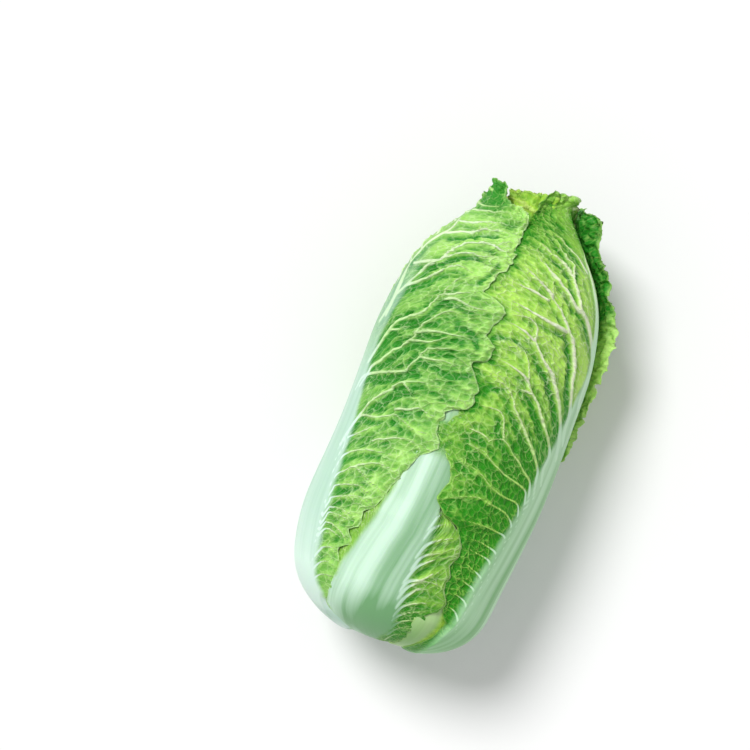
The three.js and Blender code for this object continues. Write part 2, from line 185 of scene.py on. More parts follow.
# The front leaf. A leaf of the second layer: its short white rib shows at the foot of the head, between
# its neighbours, and its crinkled right wing laps over the right leaf before both dive under the others.
OUTLINE = [
    (17.5, 9.4), (22.0, 7.0), (30.0, 7.4), (42.0, 12.6), (51.5, 19.6), (58.5, 28.0), (63.5, 38.5),
    (66.6, 54.0), (68.9, 76.0), (69.5, 104.0), (69.2, 140.0), (69.3, 176.0), (69.3, 204.0), (67.2, 224.0),
    (63.0, 243.0), (55.5, 260.0), (45.0, 274.0), (35.0, 286.0), (28.0, 295.0), (25.0, 303.0), (24.0, 313.0),
]
LOWEST = OUTLINE[1][1]
FOOT_END = 12.0  # length along the outline below which everything counts as the foot's lowest height
BLADE = 1.0  # thickness
LEAST_BLADE = 1.5  # in degrees beside the rib
FAR_IN = 40.0  # added to the distance from the margin on the rib
RIB_CROWN = 0.8  # how far a rib's middle stands out
VEIN_ROOM = 0.55  # the blade lies this share of a leaf's vein height deeper, to leave room for the veins
ROW_SLANT = 34.0  # how much further up the rows run in the blade than in the rib
WAVE_LENGTH = 17.0
TOP_BAND = 24.0  # the part of the leaf under its tip that is frilled by the tip's frill
UNROLL = 67.0  # radius that azimuths are unrolled at, so that distances along the leaf are in millimetres
NO_VEIN = 9.0  # the distance in half-widths where there is no vein near
LEAST_WIDTH = 0.85  # half-widths of the thinnest veins, in form and in colour
LEAST_PAINTED = 0.62
SWELLING = 3.4
VALLEY_BESIDE = 3.2  # from a vein's middle
FOLD_WIDTH = 2.0
FORK_AT = 12.0  # from the rib
NEITHER = 2  # of the sides, which are -1 and 1


def outline_curve(steps=60):
    """The outline as a smooth curve: its length so far, its points and its directions."""
    p = np.array([OUTLINE[0], *OUTLINE, OUTLINE[-1]])
    curve = []
    for k in range(len(OUTLINE) - 1):
        p0, p1, p2, p3 = p[k:k + 4]
        t = np.linspace(0, 1, steps, endpoint=k == len(OUTLINE) - 2)[:, None]
        v0, v1 = (p2 - p0) / 2, (p3 - p1) / 2
        cubic, square = 2 * p1 - 2 * p2 + v0 + v1, -3 * p1 + 3 * p2 - 2 * v0 - v1
        curve.append(cubic * t**3 + square * t**2 + v0 * t + p1)
    curve = np.concatenate(curve)
    along = np.concatenate([[0], np.cumsum(np.hypot(*np.diff(curve, axis=0).T))])
    direction = np.gradient(curve, along, axis=0)
    return along, curve, direction / np.linalg.norm(direction, axis=1)[:, None]


CURVE_AT, CURVE, CURVE_DIRECTION = outline_curve()
OUTLINE_LENGTH = CURVE_AT[-1]


def outline_at(station):
    """Half-width, height and direction of the outline at a length along it."""
    columns = (CURVE[:, 0], CURVE[:, 1], CURVE_DIRECTION[:, 0], CURVE_DIRECTION[:, 1])
    return [np.interp(station, CURVE_AT, column) for column in columns]


def station_at(height):
    """Length along the outline at a height on the side of the head."""
    side = CURVE_AT > 0.03 * OUTLINE_LENGTH
    return np.interp(height, CURVE[side, 1], CURVE_AT[side])


def turned_out(radius, height, turn):
    """Points at a radius and a turn round the head's axis."""
    across, towards = radius * np.sin(turn), FLATTENING * radius * np.cos(turn)
    return np.stack([sway(height) + across, height, towards], axis=-1)


def on_head(station, azimuth, depth):
    """A point of the head from its station along the outline, its azimuth and its depth."""
    r, h, dr, dh = outline_at(station)
    beyond = np.maximum(station - OUTLINE_LENGTH, 0)
    radius = np.maximum(r - dh * depth, 0.5)
    height = h + dr * depth + beyond
    return turned_out(radius, height, np.radians(azimuth))


def smoothstep(x, low, high):
    """A smooth step from 0 at low to 1 at high. Low may be the larger one."""
    t = np.clip((x - low) / (high - low), 0, 1)
    return t * t * (3 - 2 * t)


def unit(vectors):
    """The vectors at length 1."""
    return vectors / (np.linalg.norm(vectors, axis=-1, keepdims=True) + 1e-9)


def knots(line, at):
    """Straight lines between (at, value) knots, or one value everywhere."""
    if isinstance(line, (int, float)):
        return np.full_like(at, float(line))
    return np.interp(at, [a for a, _ in line], [v for _, v in line])


def seen_from_above(line):
    """A margin's azimuth from its x as seen from above. Knots are (height, x)."""
    def margin(height, radius):
        across = (knots(line, height) - sway(height)) / radius
        return np.degrees(np.arcsin(np.clip(across, -0.999, 0.999)))
    return margin


def unrolled(x, y):
    """A point seen from above, unrolled: turn round the axis and station, both in millimetres."""
    station = station_at(y)
    radius = outline_at(station)[0]
    turn = np.arcsin(np.clip((x - sway(y)) / radius, -0.999, 0.999))
    return np.array([turn * UNROLL, station])


def waves(at, seed):
    """An uneven wave from 0 to 1, about WAVE_LENGTH long."""
    turn = 2 * np.pi * at / WAVE_LENGTH
    small = 0.16 * np.sin(2.3 * turn + 2 * seed) + 0.1 * np.sin(4.1 * turn + 5 * seed)
    return 0.5 + 0.24 * np.sin(turn + seed) + small


def leaf_form(leaf, rows, left, rib, right):
    """The leaf's grid: where each point lies, and the distances that its relief and colour follow."""
    side = np.array([-1] * (left + rib) + [0] + [1] * (rib + right))
    half_rib = [k / rib for k in range(rib + 1)]
    rib_share = np.array([1.0] * left + [1 - k / rib for k in range(rib)] + half_rib + [1.0] * right)
    left_share, right_share = [1 - k / left for k in range(left)], [(k + 1) / right for k in range(right)]
    blade_share = np.array(left_share + [0.0] * (2 * rib + 1) + right_share)
    along = np.linspace(0, 1, rows + 1)[:, None]
    side, rib_share, blade_share = side[None, :], rib_share[None, :], blade_share[None, :]
    is_left = side < 0

    # how high each column of points ends, and how far along the outline each point lies
    falls = [
        knots(fall, blade_share) if isinstance(fall, list) else fall * blade_share**2 for fall in leaf["drop"]
    ]
    tip = station_at(leaf["tip"]) - np.where(is_left, *falls)
    climb = np.sin(np.pi * along) * smoothstep(along, 0.1, 0.5)
    start = leaf.get("start", 0.0)
    station = start + (tip - start) * along + ROW_SLANT * climb * (1 - (1 - blade_share) ** 2)
    radius, height, _, _ = outline_at(station)
    height = np.where(station < FOOT_END, LOWEST, height)

    # the azimuth of the rib's middle, its borders and the margins
    rib_line = knots(leaf["rib"], height)
    rib_angle = np.degrees(knots(leaf["rib_width"], height) / radius)
    edges = [m(height, radius) if callable(m) else knots(m, height) for m in (leaf["left"], leaf["right"])]
    reach = np.maximum(side * (np.where(is_left, *edges) - rib_line), rib_angle + LEAST_BLADE)
    azimuth = rib_line + side * (rib_share * rib_angle + blade_share * (reach - rib_angle))

    # how deep under the outline the leaf lies, easing from the rib to the margins
    middle = knots(leaf["depth"]["rib"], height)
    edge = np.where(is_left, knots(leaf["depth"]["left"], height), knots(leaf["depth"]["right"], height))
    edge = np.where(side == 0, middle, edge)
    ease = np.where(edge > middle, 1 - (1 - blade_share) ** 3, blade_share ** leaf.get("roll", 2))
    lie = middle + (edge - middle) * ease
    tuck = np.where(is_left, *leaf.get("tuck", (0.0, 0.0)))

    # the round rib, the blade that thins to its margin, and the waves of the margin and the tip
    on_blade = smoothstep(blade_share, 0, 0.3) * smoothstep(height, 20, 60)
    rib_form = (1 - rib_share**2) ** 1.5
    blade_width = (reach - rib_angle) * np.pi / 180 * radius
    margin = (1 - blade_share) * blade_width + FAR_IN * (rib_share < 1)
    blade = BLADE * (0.3 + 0.7 * smoothstep(np.minimum(margin, tip - station), 0, 5))
    thick = blade + rib_form * knots(leaf["rib_thick"], height)
    frill = np.where(is_left, knots(leaf["frill"][0], height), knots(leaf["frill"][1], height))
    side_swing = frill * smoothstep(blade_share, 0.55, 1) ** 2 * waves(station, np.radians(rib_line))
    arc = np.radians(azimuth) * radius
    top_swing = leaf["frill"][2] * smoothstep(station, tip - TOP_BAND, tip) ** 2 * waves(arc, 1.0)
    swing = np.maximum(side_swing, top_swing)
    swing = swing + leaf.get("flare", 0.0) * smoothstep(station, tip - leaf.get("flare_band", 12), tip) ** 1.5
    crown = RIB_CROWN * rib_form * smoothstep(height, 8, 30)
    raised = leaf["vein"] * VEIN_ROOM * on_blade
    back = lie - swing + raised - crown + tuck * smoothstep(margin, 3.5, 0)

    rib_half = rib_angle * np.pi / 180 * radius
    rib_distance = np.where(rib_share < 1, -(1 - rib_share) * rib_half, blade_share * blade_width)
    everywhere = np.ones_like(station)
    return {
        "station": station, "azimuth": azimuth, "height": height, "radius": radius,
        "back": back, "thick": thick, "side": side * everywhere, "on_blade": on_blade * everywhere,
        "rib_distance": rib_distance, "across": side * (rib_distance + rib_half),
        "margin": margin, "top": tip - station, "row": along * (tip - start),
    }


def grid_shell(rows, columns, step=1):
    """Faces of a closed shell: a grid of outer points, a grid of every step-th inner point, and the rim."""
    outer = np.arange((rows + 1) * columns).reshape(rows + 1, columns)
    inner = outer.size + np.arange((rows // step + 1) * ((columns - 1) // step + 1))
    inner = inner.reshape(rows // step + 1, -1)
    faces = []
    for grid, order in ((outer, 1), (inner, -1)):
        quads = np.stack([grid[:-1, :-1], grid[:-1, 1:], grid[1:, 1:], grid[1:, :-1]], axis=-1)
        faces += [tuple(quad[::order]) for quad in quads.reshape(-1, 4).tolist()]
    bottom, top = (outer[0, ::-1], inner[0, ::-1]), (outer[-1], inner[-1])
    left, right = (outer[:, 0], inner[:, 0]), (outer[::-1, -1], inner[::-1, -1])
    for outside, inside in (bottom, top, left, right):
        for k in range(len(inside) - 1):
            faces.append((*outside[k * step:(k + 1) * step + 1].tolist(), int(inside[k + 1]), int(inside[k])))
    return faces


def smooth_line(line, steps=4):
    """More points on a smooth curve through a line's points."""
    p = np.array([2 * np.array(line[0]) - line[1], *line, 2 * np.array(line[-1]) - line[-2]])
    t = np.linspace(0, 1, steps, endpoint=False)[:, None]
    p0, p1, p2, p3 = (p[k:len(p) - 3 + k, None] for k in range(4))
    curve = p1 + 0.5 * t * (p2 - p0 + t * (2 * p0 - 5 * p1 + 4 * p2 - p3 + t * (3 * (p1 - p2) + p3 - p0)))
    return np.concatenate([curve.reshape(-1, 2), p[-2:-1]])


def segments(line, u, v):
    """For each short straight piece of a line on the leaf: its start, its run and its length, and for every
    point of the leaf the share along it of the nearest place and the distance from that."""
    path = np.array([unrolled(x, y) for x, y in smooth_line(line)])
    for a, run in zip(path[:-1], np.diff(path, axis=0)):
        length = np.hypot(*run)
        share = np.clip(((u - a[0]) * run[0] + (v - a[1]) * run[1]) / (length**2 + 1e-9), 0, 1)
        yield a, run, length, share, np.hypot(u - a[0] - share * run[0], v - a[1] - share * run[1])


def vein_field(form, veins, folds, thin):
    """From a leaf's veins and folds: distance to a vein in half-widths, ridges' heights, valleys' depths,
    which the skin also paints as shade.
    """
    thin = knots(thin, form["height"])
    u = np.radians(form["azimuth"]) * UNROLL
    v = form["station"]
    nearest = np.full(u.shape, NO_VEIN)
    ridge = np.zeros(u.shape)
    valley_and_shade = np.zeros(u.shape)
    for size, line in veins:
        pieces = list(segments(line, u, v))
        total = sum(length for _, _, length, _, _ in pieces)
        so_far = 0.0
        for a, run, length, t, off in pieces:
            share = (so_far + t * length) / total
            # it thins along its length, in its form and in its colour, which fades at both ends
            width = np.maximum(size * (1.1 - 0.65 * share), LEAST_WIDTH)
            painted = np.maximum(size * (1.2 - 0.8 * share) * thin, LEAST_PAINTED)
            nearest = np.minimum(nearest, off / painted + 0.75 * share**3 + 0.2 * smoothstep(share, 0.08, 0))
            # a narrow ridge on a broad swelling, lower where it leaves the rib and towards its end
            height = size * (1.25 - share) * (0.4 + 0.6 * smoothstep(share, 0, 0.1))
            peak = 1.15 * np.exp(-((off / (1.05 * width)) ** 2)) + 0.45 * np.exp(-((off / SWELLING) ** 2))
            ridge = np.maximum(ridge, height * peak)
            # a dip along each side, deeper and broader on the lower one, where shade falls, and painted there
            # as shade by the skin
            below = (v - a[1]) * abs(run[0]) - (u - a[0]) * run[1] * np.sign(run[0])
            under = smoothstep(below, 0, -6 * length)
            shaded_hollow = np.exp(-(((off - VALLEY_BESIDE) / (1.7 + 1.2 * under)) ** 2))
            valley_and_shade = np.maximum(valley_and_shade, height * (0.4 + 0.7 * under) * shaded_hollow)
            so_far += length
    for depth, line in folds:
        for *_, off in segments(line, u, v):
            valley_and_shade = np.maximum(valley_and_shade, depth * np.exp(-((off / FOLD_WIDTH) ** 2)))
    return nearest, ridge, valley_and_shade


def comb_field(form, spacing, seed, size):
    """Side veins by rule: one every spacing up the rib on each side, forking and thinning outwards."""
    along = form["row"] + 0 * form["station"]
    out = np.maximum(form["rib_distance"], 0)
    phase = along / spacing + 0.5 * (form["side"] < 0) + 0.16 * np.sin(along / 23 + seed)
    phase = phase + 0.10 * np.sin(out / 9 + 1.7 * along / spacing)
    away = np.abs(phase - np.round(phase))
    straight = away * spacing
    # further out a vein is two, that part more and more
    fork = np.abs(away - np.clip((out - FORK_AT) / 90, 0, 0.3)) * spacing
    off = np.where(out > FORK_AT, np.minimum(fork, straight + 1.5), straight)
    width = size * np.clip(1.25 - out / 75, 0.5, 1.25)
    ridge = size * np.clip(1.1 - out / 90, 0.3, 1.1) * np.exp(-((off / (1.2 * width)) ** 2))
    valley_and_shade = 0.6 * size * np.exp(-(((off - VALLEY_BESIDE) / 1.9) ** 2))
    gone = 3 * smoothstep(form["rib_distance"], 0, -3) + 2 * smoothstep(form["height"], 60, 30)
    return off / width + gone, ridge, valley_and_shade


def leaf_patterns(tree, flow, seed):
    """For a tree: a function for coordinates that run with the leaf, stretched to a length and a width in
    millimetres, and one for a noise on them."""
    split = add(tree, "ShaderNodeSeparateXYZ", {"Vector": flow}).outputs

    def pattern(along, across, shift):
        x, y = calc(tree, "DIVIDE", split["X"], along), calc(tree, "DIVIDE", split["Y"], across)
        return add(tree, "ShaderNodeCombineXYZ", {"X": x, "Y": y, "Z": calc(tree, "ADD", seed, shift)})

    def noise(along, across, shift, detail):
        at = pattern(along, across, shift)
        return add(tree, "ShaderNodeTexNoise", {"Vector": at, "Scale": 1.0, "Detail": detail})

    return pattern, noise


def vein_cells(tree, cells):
    """For a tree: a function for the distance to the nearest edge of the cells between the small veins."""
    wobble = add(tree, "ShaderNodeTexNoise", {"Vector": cells, "Scale": 1.1, "Detail": 2.0})
    shift = add(tree, "ShaderNodeVectorMath", {0: wobble.outputs["Color"], "Scale": 0.9}, operation="SCALE")
    bent = add(tree, "ShaderNodeVectorMath", {0: cells, 1: shift}, operation="ADD")

    def edge_at(scale, randomness):
        values = {"Vector": bent, "Scale": scale, "Randomness": randomness}
        return add(tree, "ShaderNodeTexVoronoi", values, feature="DISTANCE_TO_EDGE").outputs["Distance"]

    return edge_at


def crinkle_tree():
    """Geometry Nodes: raises veins, sinks the blade between them in blisters, cuts teeth in the margins."""
    tree = bpy.data.node_groups.new("Leaf Crinkle", "GeometryNodeTree")
    times, plus, minus = (partial(calc, tree, kind) for kind in ("MULTIPLY", "ADD", "SUBTRACT"))
    face = tree.interface
    face.new_socket("Geometry", in_out="INPUT", socket_type="NodeSocketGeometry")
    for name, value in (
        ("Blister Length", 8.0), ("Blister Width", 4.5), ("Blister Depth", 0.9), ("Fold Depth", 1.35),
        ("Crumple Depth", 0.9), ("Tooth Depth", 0.6), ("Curl Depth", 0.5), ("Groove Depth", 0.12),
        ("Seed", 0.0),
    ):
        face.new_socket(name, in_out="INPUT", socket_type="NodeSocketFloat").default_value = value
    face.new_socket("Material", in_out="INPUT", socket_type="NodeSocketMaterial")
    face.new_socket("Geometry", in_out="OUTPUT", socket_type="NodeSocketGeometry")
    given = add(tree, "NodeGroupInput").outputs

    def stored(name, kind="FLOAT"):
        node = add(tree, "GeometryNodeInputNamedAttribute", {"Name": name}, data_type=kind)
        return node.outputs["Attribute"]

    pattern, noise = leaf_patterns(tree, stored("flow", "FLOAT_VECTOR"), given["Seed"])

    def swell(size, middle, depth):
        """A noise of a length, a width, a shift and a detail, from its middle value, scaled to a depth."""
        return times(minus(noise(*size), middle), depth)

    def crease(size, reach, depth):
        """Raised creases where such a noise crosses 0.5."""
        return times(minus(reach, calc(tree, "ABSOLUTE", minus(noise(*size), 0.5))), depth)

    def pushed(way, amount):
        """A stored direction, scaled."""
        along = stored(way, "FLOAT_VECTOR")
        return add(tree, "ShaderNodeVectorMath", {0: along, "Scale": amount}, operation="SCALE")

    edge_at = vein_cells(tree, pattern(given["Blister Length"], given["Blister Width"], 0.0))
    pocket = times(ramp(tree, edge_at(1.0, 0.9), 0.0, 0.32), given["Blister Depth"])
    fold = crease((24.0, 9.0, 4.0, 3.0), 0.12, times(given["Fold Depth"], 6.0))
    crumple = crease((8.5, 5.0, 6.0, 2.0), 0.1, times(given["Crumple Depth"], 8.0))
    raised = plus(plus(fold, crumple), stored("ridge"))
    blade = stored("blade")
    on_blade = times(minus(raised, plus(pocket, stored("valley_and_shade"))), blade)
    groove = swell((2.6, 90.0, 9.0, 2.0), 0.5, times(given["Groove Depth"], 2.0))
    on_rib = times(groove, minus(1.0, blade))
    curl = swell((9.0, 6.0, 14.0, 2.0), 0.42, times(given["Curl Depth"], 4.0))
    curl = times(calc(tree, "MAXIMUM", curl, -0.15), stored("edge"))
    lift = times(plus(plus(on_blade, on_rib), curl), MM)
    tooth = swell((5.0, 5.0, 21.0, 1.5), 0.55, times(given["Tooth Depth"], 4.0 * MM))
    moves = {0: pushed("lift", lift), 1: pushed("push", tooth)}
    offset = add(tree, "ShaderNodeVectorMath", moves, operation="ADD")
    # the relief's depth, kept for the skin to paint as shade
    noted = add(tree, "GeometryNodeStoreNamedAttribute", {
        "Geometry": given["Geometry"], "Name": "shaded_hollow", "Value": times(on_blade, -1.0),
    }, data_type="FLOAT", domain="POINT")
    moved = add(tree, "GeometryNodeSetPosition", {"Geometry": noted, "Offset": offset})
    real = add(tree, "GeometryNodeRealizeInstances", {"Geometry": moved})
    painted = add(tree, "GeometryNodeSetMaterial", {"Geometry": real, "Material": given["Material"]})
    add(tree, "NodeGroupOutput", {"Geometry": painted})
    return tree


CRINKLE = crinkle_tree()


def baked(piece, tree, **values):
    """The piece's mesh becomes what a Geometry Nodes tree makes of it. Inputs are named as in the tree."""
    modifier = piece.modifiers.new(tree.name, "NODES")
    modifier.node_group = tree
    sockets = {s.name: s.identifier for s in tree.interface.items_tree if getattr(s, "in_out", "") == "INPUT"}
    for name, value in values.items():
        modifier[sockets[name.replace("_", " ")]] = value
    bpy.context.view_layer.update()
    made = bpy.data.meshes.new_from_object(piece.evaluated_get(bpy.context.evaluated_depsgraph_get()))
    piece.modifiers.clear()
    old, piece.data = piece.data, made
    bpy.data.meshes.remove(old)
    made.name = piece.name


def leaf_skin_group():
    """Shader group of a leaf's skin: blade, net, main veins and rib, as a colour, a gloss and a height."""
    tree = bpy.data.node_groups.new("Leaf Skin", "ShaderNodeTree")
    times, plus, minus = (partial(calc, tree, kind) for kind in ("MULTIPLY", "ADD", "SUBTRACT"))
    most = partial(calc, tree, "MAXIMUM")
    face = tree.interface
    for name in ("Light Blade", "Deep Blade", "Vein", "Rib", "Rib Shade"):
        face.new_socket(name, in_out="INPUT", socket_type="NodeSocketColor")
    for name, value in (
        ("Blister Length", 8.0), ("Blister Width", 6.0), ("Net", 0.5), ("Streaks", 0.28), ("Seed", 0.0),
    ):
        face.new_socket(name, in_out="INPUT", socket_type="NodeSocketFloat").default_value = value
    for name, kind in (("Color", "Color"), ("Roughness", "Float"), ("Height", "Float")):
        face.new_socket(name, in_out="OUTPUT", socket_type="NodeSocket" + kind)
    given = add(tree, "NodeGroupInput").outputs

    def stored(name, output="Fac"):
        return add(tree, "ShaderNodeAttribute", attribute_name=name).outputs[output]

    pattern, noise = leaf_patterns(tree, stored("flow", "Vector"), given["Seed"])
    edge_at = vein_cells(tree, pattern(given["Blister Length"], given["Blister Width"], 0.0))

    # the veins: the main ones, the margin's pale line and two sizes of net
    strength = times(given["Net"], ramp(tree, noise(19.0, 13.0, 27.0, 2.0), 0.35, 0.65, 0.35, 1.0))
    net = times(ramp(tree, edge_at(1.0, 0.9), 0.0, 0.13, 1.0, 0.0), strength)
    fine_net = times(ramp(tree, edge_at(2.7, 1.0), 0.0, 0.12, 1.0, 0.0), times(strength, 0.4))
    both_nets = most(net, fine_net)
    vein = stored("vein_distance")
    main = ramp(tree, vein, 0.4, 1.3, 1.0, 0.0)
    halo = ramp(tree, vein, 0.9, 4.0, 0.1, 0.0)
    rim = ramp(tree, stored("edge_line"), 0.3, 1.6, 0.4, 0.0)
    veins = most(most(main, rim), both_nets, clamp=True)

    # the blade: light to deep green by its place, clouds and grain, with painted shade in its hollows and
    # beside its veins
    cloud = noise(22.0, 13.0, 31.0, 4.0)
    grain = minus(noise(1.6, 1.2, 37.0, 2.0), 0.5)
    clouds = minus(cloud, 0.5)
    green = stored("green")
    depth = plus(minus(green, halo), times(clouds, 0.24))
    # painted shade: darker where the relief sinks and in the valleys beside the veins
    shaded_hollow = times(plus(stored("shaded_hollow"), 0.2), 0.3)
    painted_shade = plus(shaded_hollow, times(stored("valley_and_shade"), 0.55))
    tone = plus(plus(depth, painted_shade), times(grain, 0.35), clamp=True)
    blade = blend(tree, tone, given["Light Blade"], given["Deep Blade"])
    pale = blend(tree, times(green, 0.8, clamp=True), given["Vein"], given["Light Blade"])
    veined = blend(tree, veins, blade, pale)

    # the rib: pale, with streaks along it, a tone across it that is partly painted shade, and painted shade
    # low at its base, its border uneven and drawn out along the veins
    streak = noise(6.5, 160.0, 43.0, 4.0)
    streaked = times(ramp(tree, streak, 0.35, 0.7), given["Streaks"])
    toned = minus(plus(stored("foot_shade"), stored("rib_tone_and_shade")), times(main, 0.5))
    rib = blend(tree, plus(streaked, toned, clamp=True), given["Rib"], given["Rib Shade"])
    border = minus(plus(stored("rib_distance"), times(clouds, 5.0)), times(main, 4.5))
    is_rib = times(ramp(tree, border, -1.5, 4.0, 1.0, 0.0), stored("whiteness"))
    color = blend(tree, is_rib, veined, rib)

    rough = minus(plus(0.46, times(grain, 0.25)), times(is_rib, 0.1))
    fibres = times(streak, times(is_rib, 0.5))
    raised = plus(plus(times(both_nets, 2.0), times(main, 1.2)), times(plus(grain, 0.5), 0.5))
    height = plus(fibres, times(raised, minus(1.0, is_rib)))
    add(tree, "NodeGroupOutput", {"Color": color, "Roughness": rough, "Height": height})
    return tree


LEAF_SKIN = leaf_skin_group()


def leaf_material(
    name, light, deep, vein, rib, rib_shade, blister=(8.0, 4.5), net=0.42, streaks=0.28, seed=0.0,
):
    """A leaf's skin: waxy, slightly see-through. Colours are light, blister is a cell's length and width."""
    material = bpy.data.materials.new(name)
    material.use_nodes = True
    tree = material.node_tree
    tree.nodes.clear()
    skin = add(tree, "ShaderNodeGroup", node_tree=LEAF_SKIN)
    colours = {"Light Blade": light, "Deep Blade": deep, "Vein": vein, "Rib": rib, "Rib Shade": rib_shade}
    for key, value in colours.items():
        skin.inputs[key].default_value = (*value, 1)
    sizes = {"Blister Length": blister[0], "Blister Width": blister[1]}
    sizes |= {"Net": net, "Streaks": streaks, "Seed": seed}
    for key, value in sizes.items():
        skin.inputs[key].default_value = value
    height = skin.outputs["Height"]
    bump = add(tree, "ShaderNodeBump", {"Height": height, "Strength": 0.8, "Distance": 0.0008})
    shader = add(tree, "ShaderNodeBsdfPrincipled", {
        "Base Color": skin.outputs["Color"], "Roughness": skin.outputs["Roughness"], "Normal": bump,
        "Specular IOR Level": 0.2, "Subsurface Weight": 0.12, "Subsurface Radius": (0.6, 1.0, 0.3),
        "Subsurface Scale": 0.002,
    })
    add(tree, "ShaderNodeOutputMaterial", {"Surface": shader})
    return material


LYING_RADIUS = 69.3
FLAT = 1.6  # how far the head is pressed flat where it lies
FLOOR = -FLATTENING * LYING_RADIUS - RIB_CROWN + FLAT


def ruffle(leaf, form, across, upward, normal):
    """A frilled margin is longer than its leaf, so it stands in rounded lobes with pillows behind them."""
    frilled = leaf["ruffle"]
    sides = np.where(form["side"] < 0, frilled["left"], knots(frilled["right"], form["height"]))
    sides = sides * smoothstep(form["height"], *frilled.get("from", (16, 60)))
    arc = np.radians(form["azimuth"]) * form["radius"]
    edges = (
        (sides, form["margin"], form["station"], across * form["side"][..., None]),
        (frilled["top"] * np.ones_like(form["top"]), form["top"], arc, upward),
    )
    shift = 0
    for depth, inward, at, out in edges:
        # lobes along the margin, uneven in length, with small pillows on them that end further in
        near = np.clip(1 - inward / frilled["zone"], 0, 1)
        wave = np.pi * at / frilled["length"] + leaf["seed"]
        wave = wave + 0.7 * np.sin(0.83 * wave) + 0.4 * np.sin(0.31 * wave)
        lobe = np.abs(np.sin(wave)) ** 0.7 - 0.65
        small = 2.3 * wave + 1.3 * np.sin(2 * np.pi * inward / 12 + wave)
        pillow = np.sin(small) * np.cos(2 * np.pi * inward / 7.5 + 1.2 * np.sin(wave))
        pleats = frilled.get("pleat", 1.6) * lobe * near**1.3
        swing = (pleats + frilled.get("pillow", 0.35) * pillow * near**0.6) * depth
        reach = frilled.get("lobe", 0.7) * lobe * depth * near**1.3
        shift = shift + swing[..., None] * normal + reach[..., None] * out
    return shift


def grow(name, leaf, material, veins=None, crinkle=None):
    """One leaf: its shell from the grid, its relief from the crinkle tree, and its place in the frame."""
    form = leaf_form(leaf, *leaf["grid"])
    height = form["height"]
    outer = on_head(form["station"], form["azimuth"], form["back"])
    inner = on_head(form["station"], form["azimuth"], form["back"] + form["thick"])
    relief = comb_field(form, leaf.get("spacing", 12.0), leaf["seed"], leaf.get("vein_size", 1.0))
    if veins:
        drawn = vein_field(form, veins, leaf.get("folds", ()), leaf.get("thin", 1.0))
        merged = [pick(*pair) for pick, pair in zip((np.minimum, np.maximum, np.maximum), zip(relief, drawn))]
        far = form["side"] == leaf.get("far_side", NEITHER)
        relief = [np.where(far, *pair) for pair in zip(merged, drawn)]
    vein_distance, ridge, valley_and_shade = relief
    if "faint" in leaf:
        vein_distance = vein_distance + leaf["faint"](form)
    lift = unit(outer - on_head(form["station"], form["azimuth"], form["back"] + 1.0))
    across, upward = unit(np.gradient(outer, axis=1)), unit(np.gradient(outer, axis=0))
    if "ruffle" in leaf:
        normal = np.cross(across, upward)
        normal = unit(normal * np.sign(np.sum(normal * lift, axis=-1, keepdims=True)))
        shift = ruffle(leaf, form, across, upward, normal)
        outer, inner = outer + shift, inner + shift
    above_foot = smoothstep(height, 16, 40)
    edge_side = smoothstep(form["margin"], 4.0, 0.0) * above_foot
    edge_top = smoothstep(form["top"], 6.0, 0.0)
    edge = np.maximum(smoothstep(form["margin"], 10.0, 0.0) * above_foot, smoothstep(form["top"], 14.0, 0.0))

    def given(key, otherwise):
        """A leaf's own value, which may be a rule for the whole leaf."""
        value = leaf.get(key, otherwise)
        return value(form) if callable(value) else value + 0 * form["station"]

    whiteness = given("white", smoothstep(height, 275, 215))
    # painted shade low on the ribs, where they curve down into the butt away from the lamp
    foot_shade = given("foot_shade", 1.0) * smoothstep(height, 45, 8) * (0.4 + 0.6 * smoothstep(form["radius"], 28, 44))
    fields = {
        "flow": np.stack([form["across"], form["row"] + 0 * height, 0 * height], axis=-1), "lift": lift,
        "push": across * (form["side"] * edge_side)[..., None] + upward * edge_top[..., None],
        "edge": edge, "edge_line": np.minimum(form["margin"], form["top"]),
        "blade": form["on_blade"] * given("calm", 1), "ridge": ridge, "valley_and_shade": valley_and_shade,
        "vein_distance": vein_distance, "rib_distance": form["rib_distance"] + given("border", 0),
        "green": given("green", 0), "foot_shade": foot_shade, "whiteness": whiteness, "rib_tone_and_shade": given("rib_tone_and_shade", 0),
    }
    step = leaf.get("inside_step", 2)

    def both(outside, inside):
        """The values of the outer points, then those of the inner points, which may be fewer."""
        size = outside.shape[2:]
        return np.concatenate([outside.reshape(-1, *size), inside[::step, ::step].reshape(-1, *size)])

    points = both(outer, inner)
    points[:, 2] = np.maximum(points[:, 2], FLOOR)
    faces = grid_shell(outer.shape[0] - 1, outer.shape[1], step)
    piece = mesh_object(name, points, faces, {key: both(field, field) for key, field in fields.items()})
    baked(piece, CRINKLE, Material=material, Seed=leaf["seed"], **(crinkle or {}))
    rested(piece)
    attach(piece, "root")
    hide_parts(leaf["node"])


def rested(piece):
    """Presses what would sink into the table flat against it."""
    mesh = piece.data
    at = np.empty(len(mesh.vertices) * 3, dtype=np.float32)
    mesh.vertices.foreach_get("co", at)
    at = at.reshape(-1, 3)
    at[:, 2] = np.maximum(at[:, 2], FLOOR * MM + HEAD_ORIGIN[2])
    mesh.vertices.foreach_set("co", at.ravel())
    mesh.update()


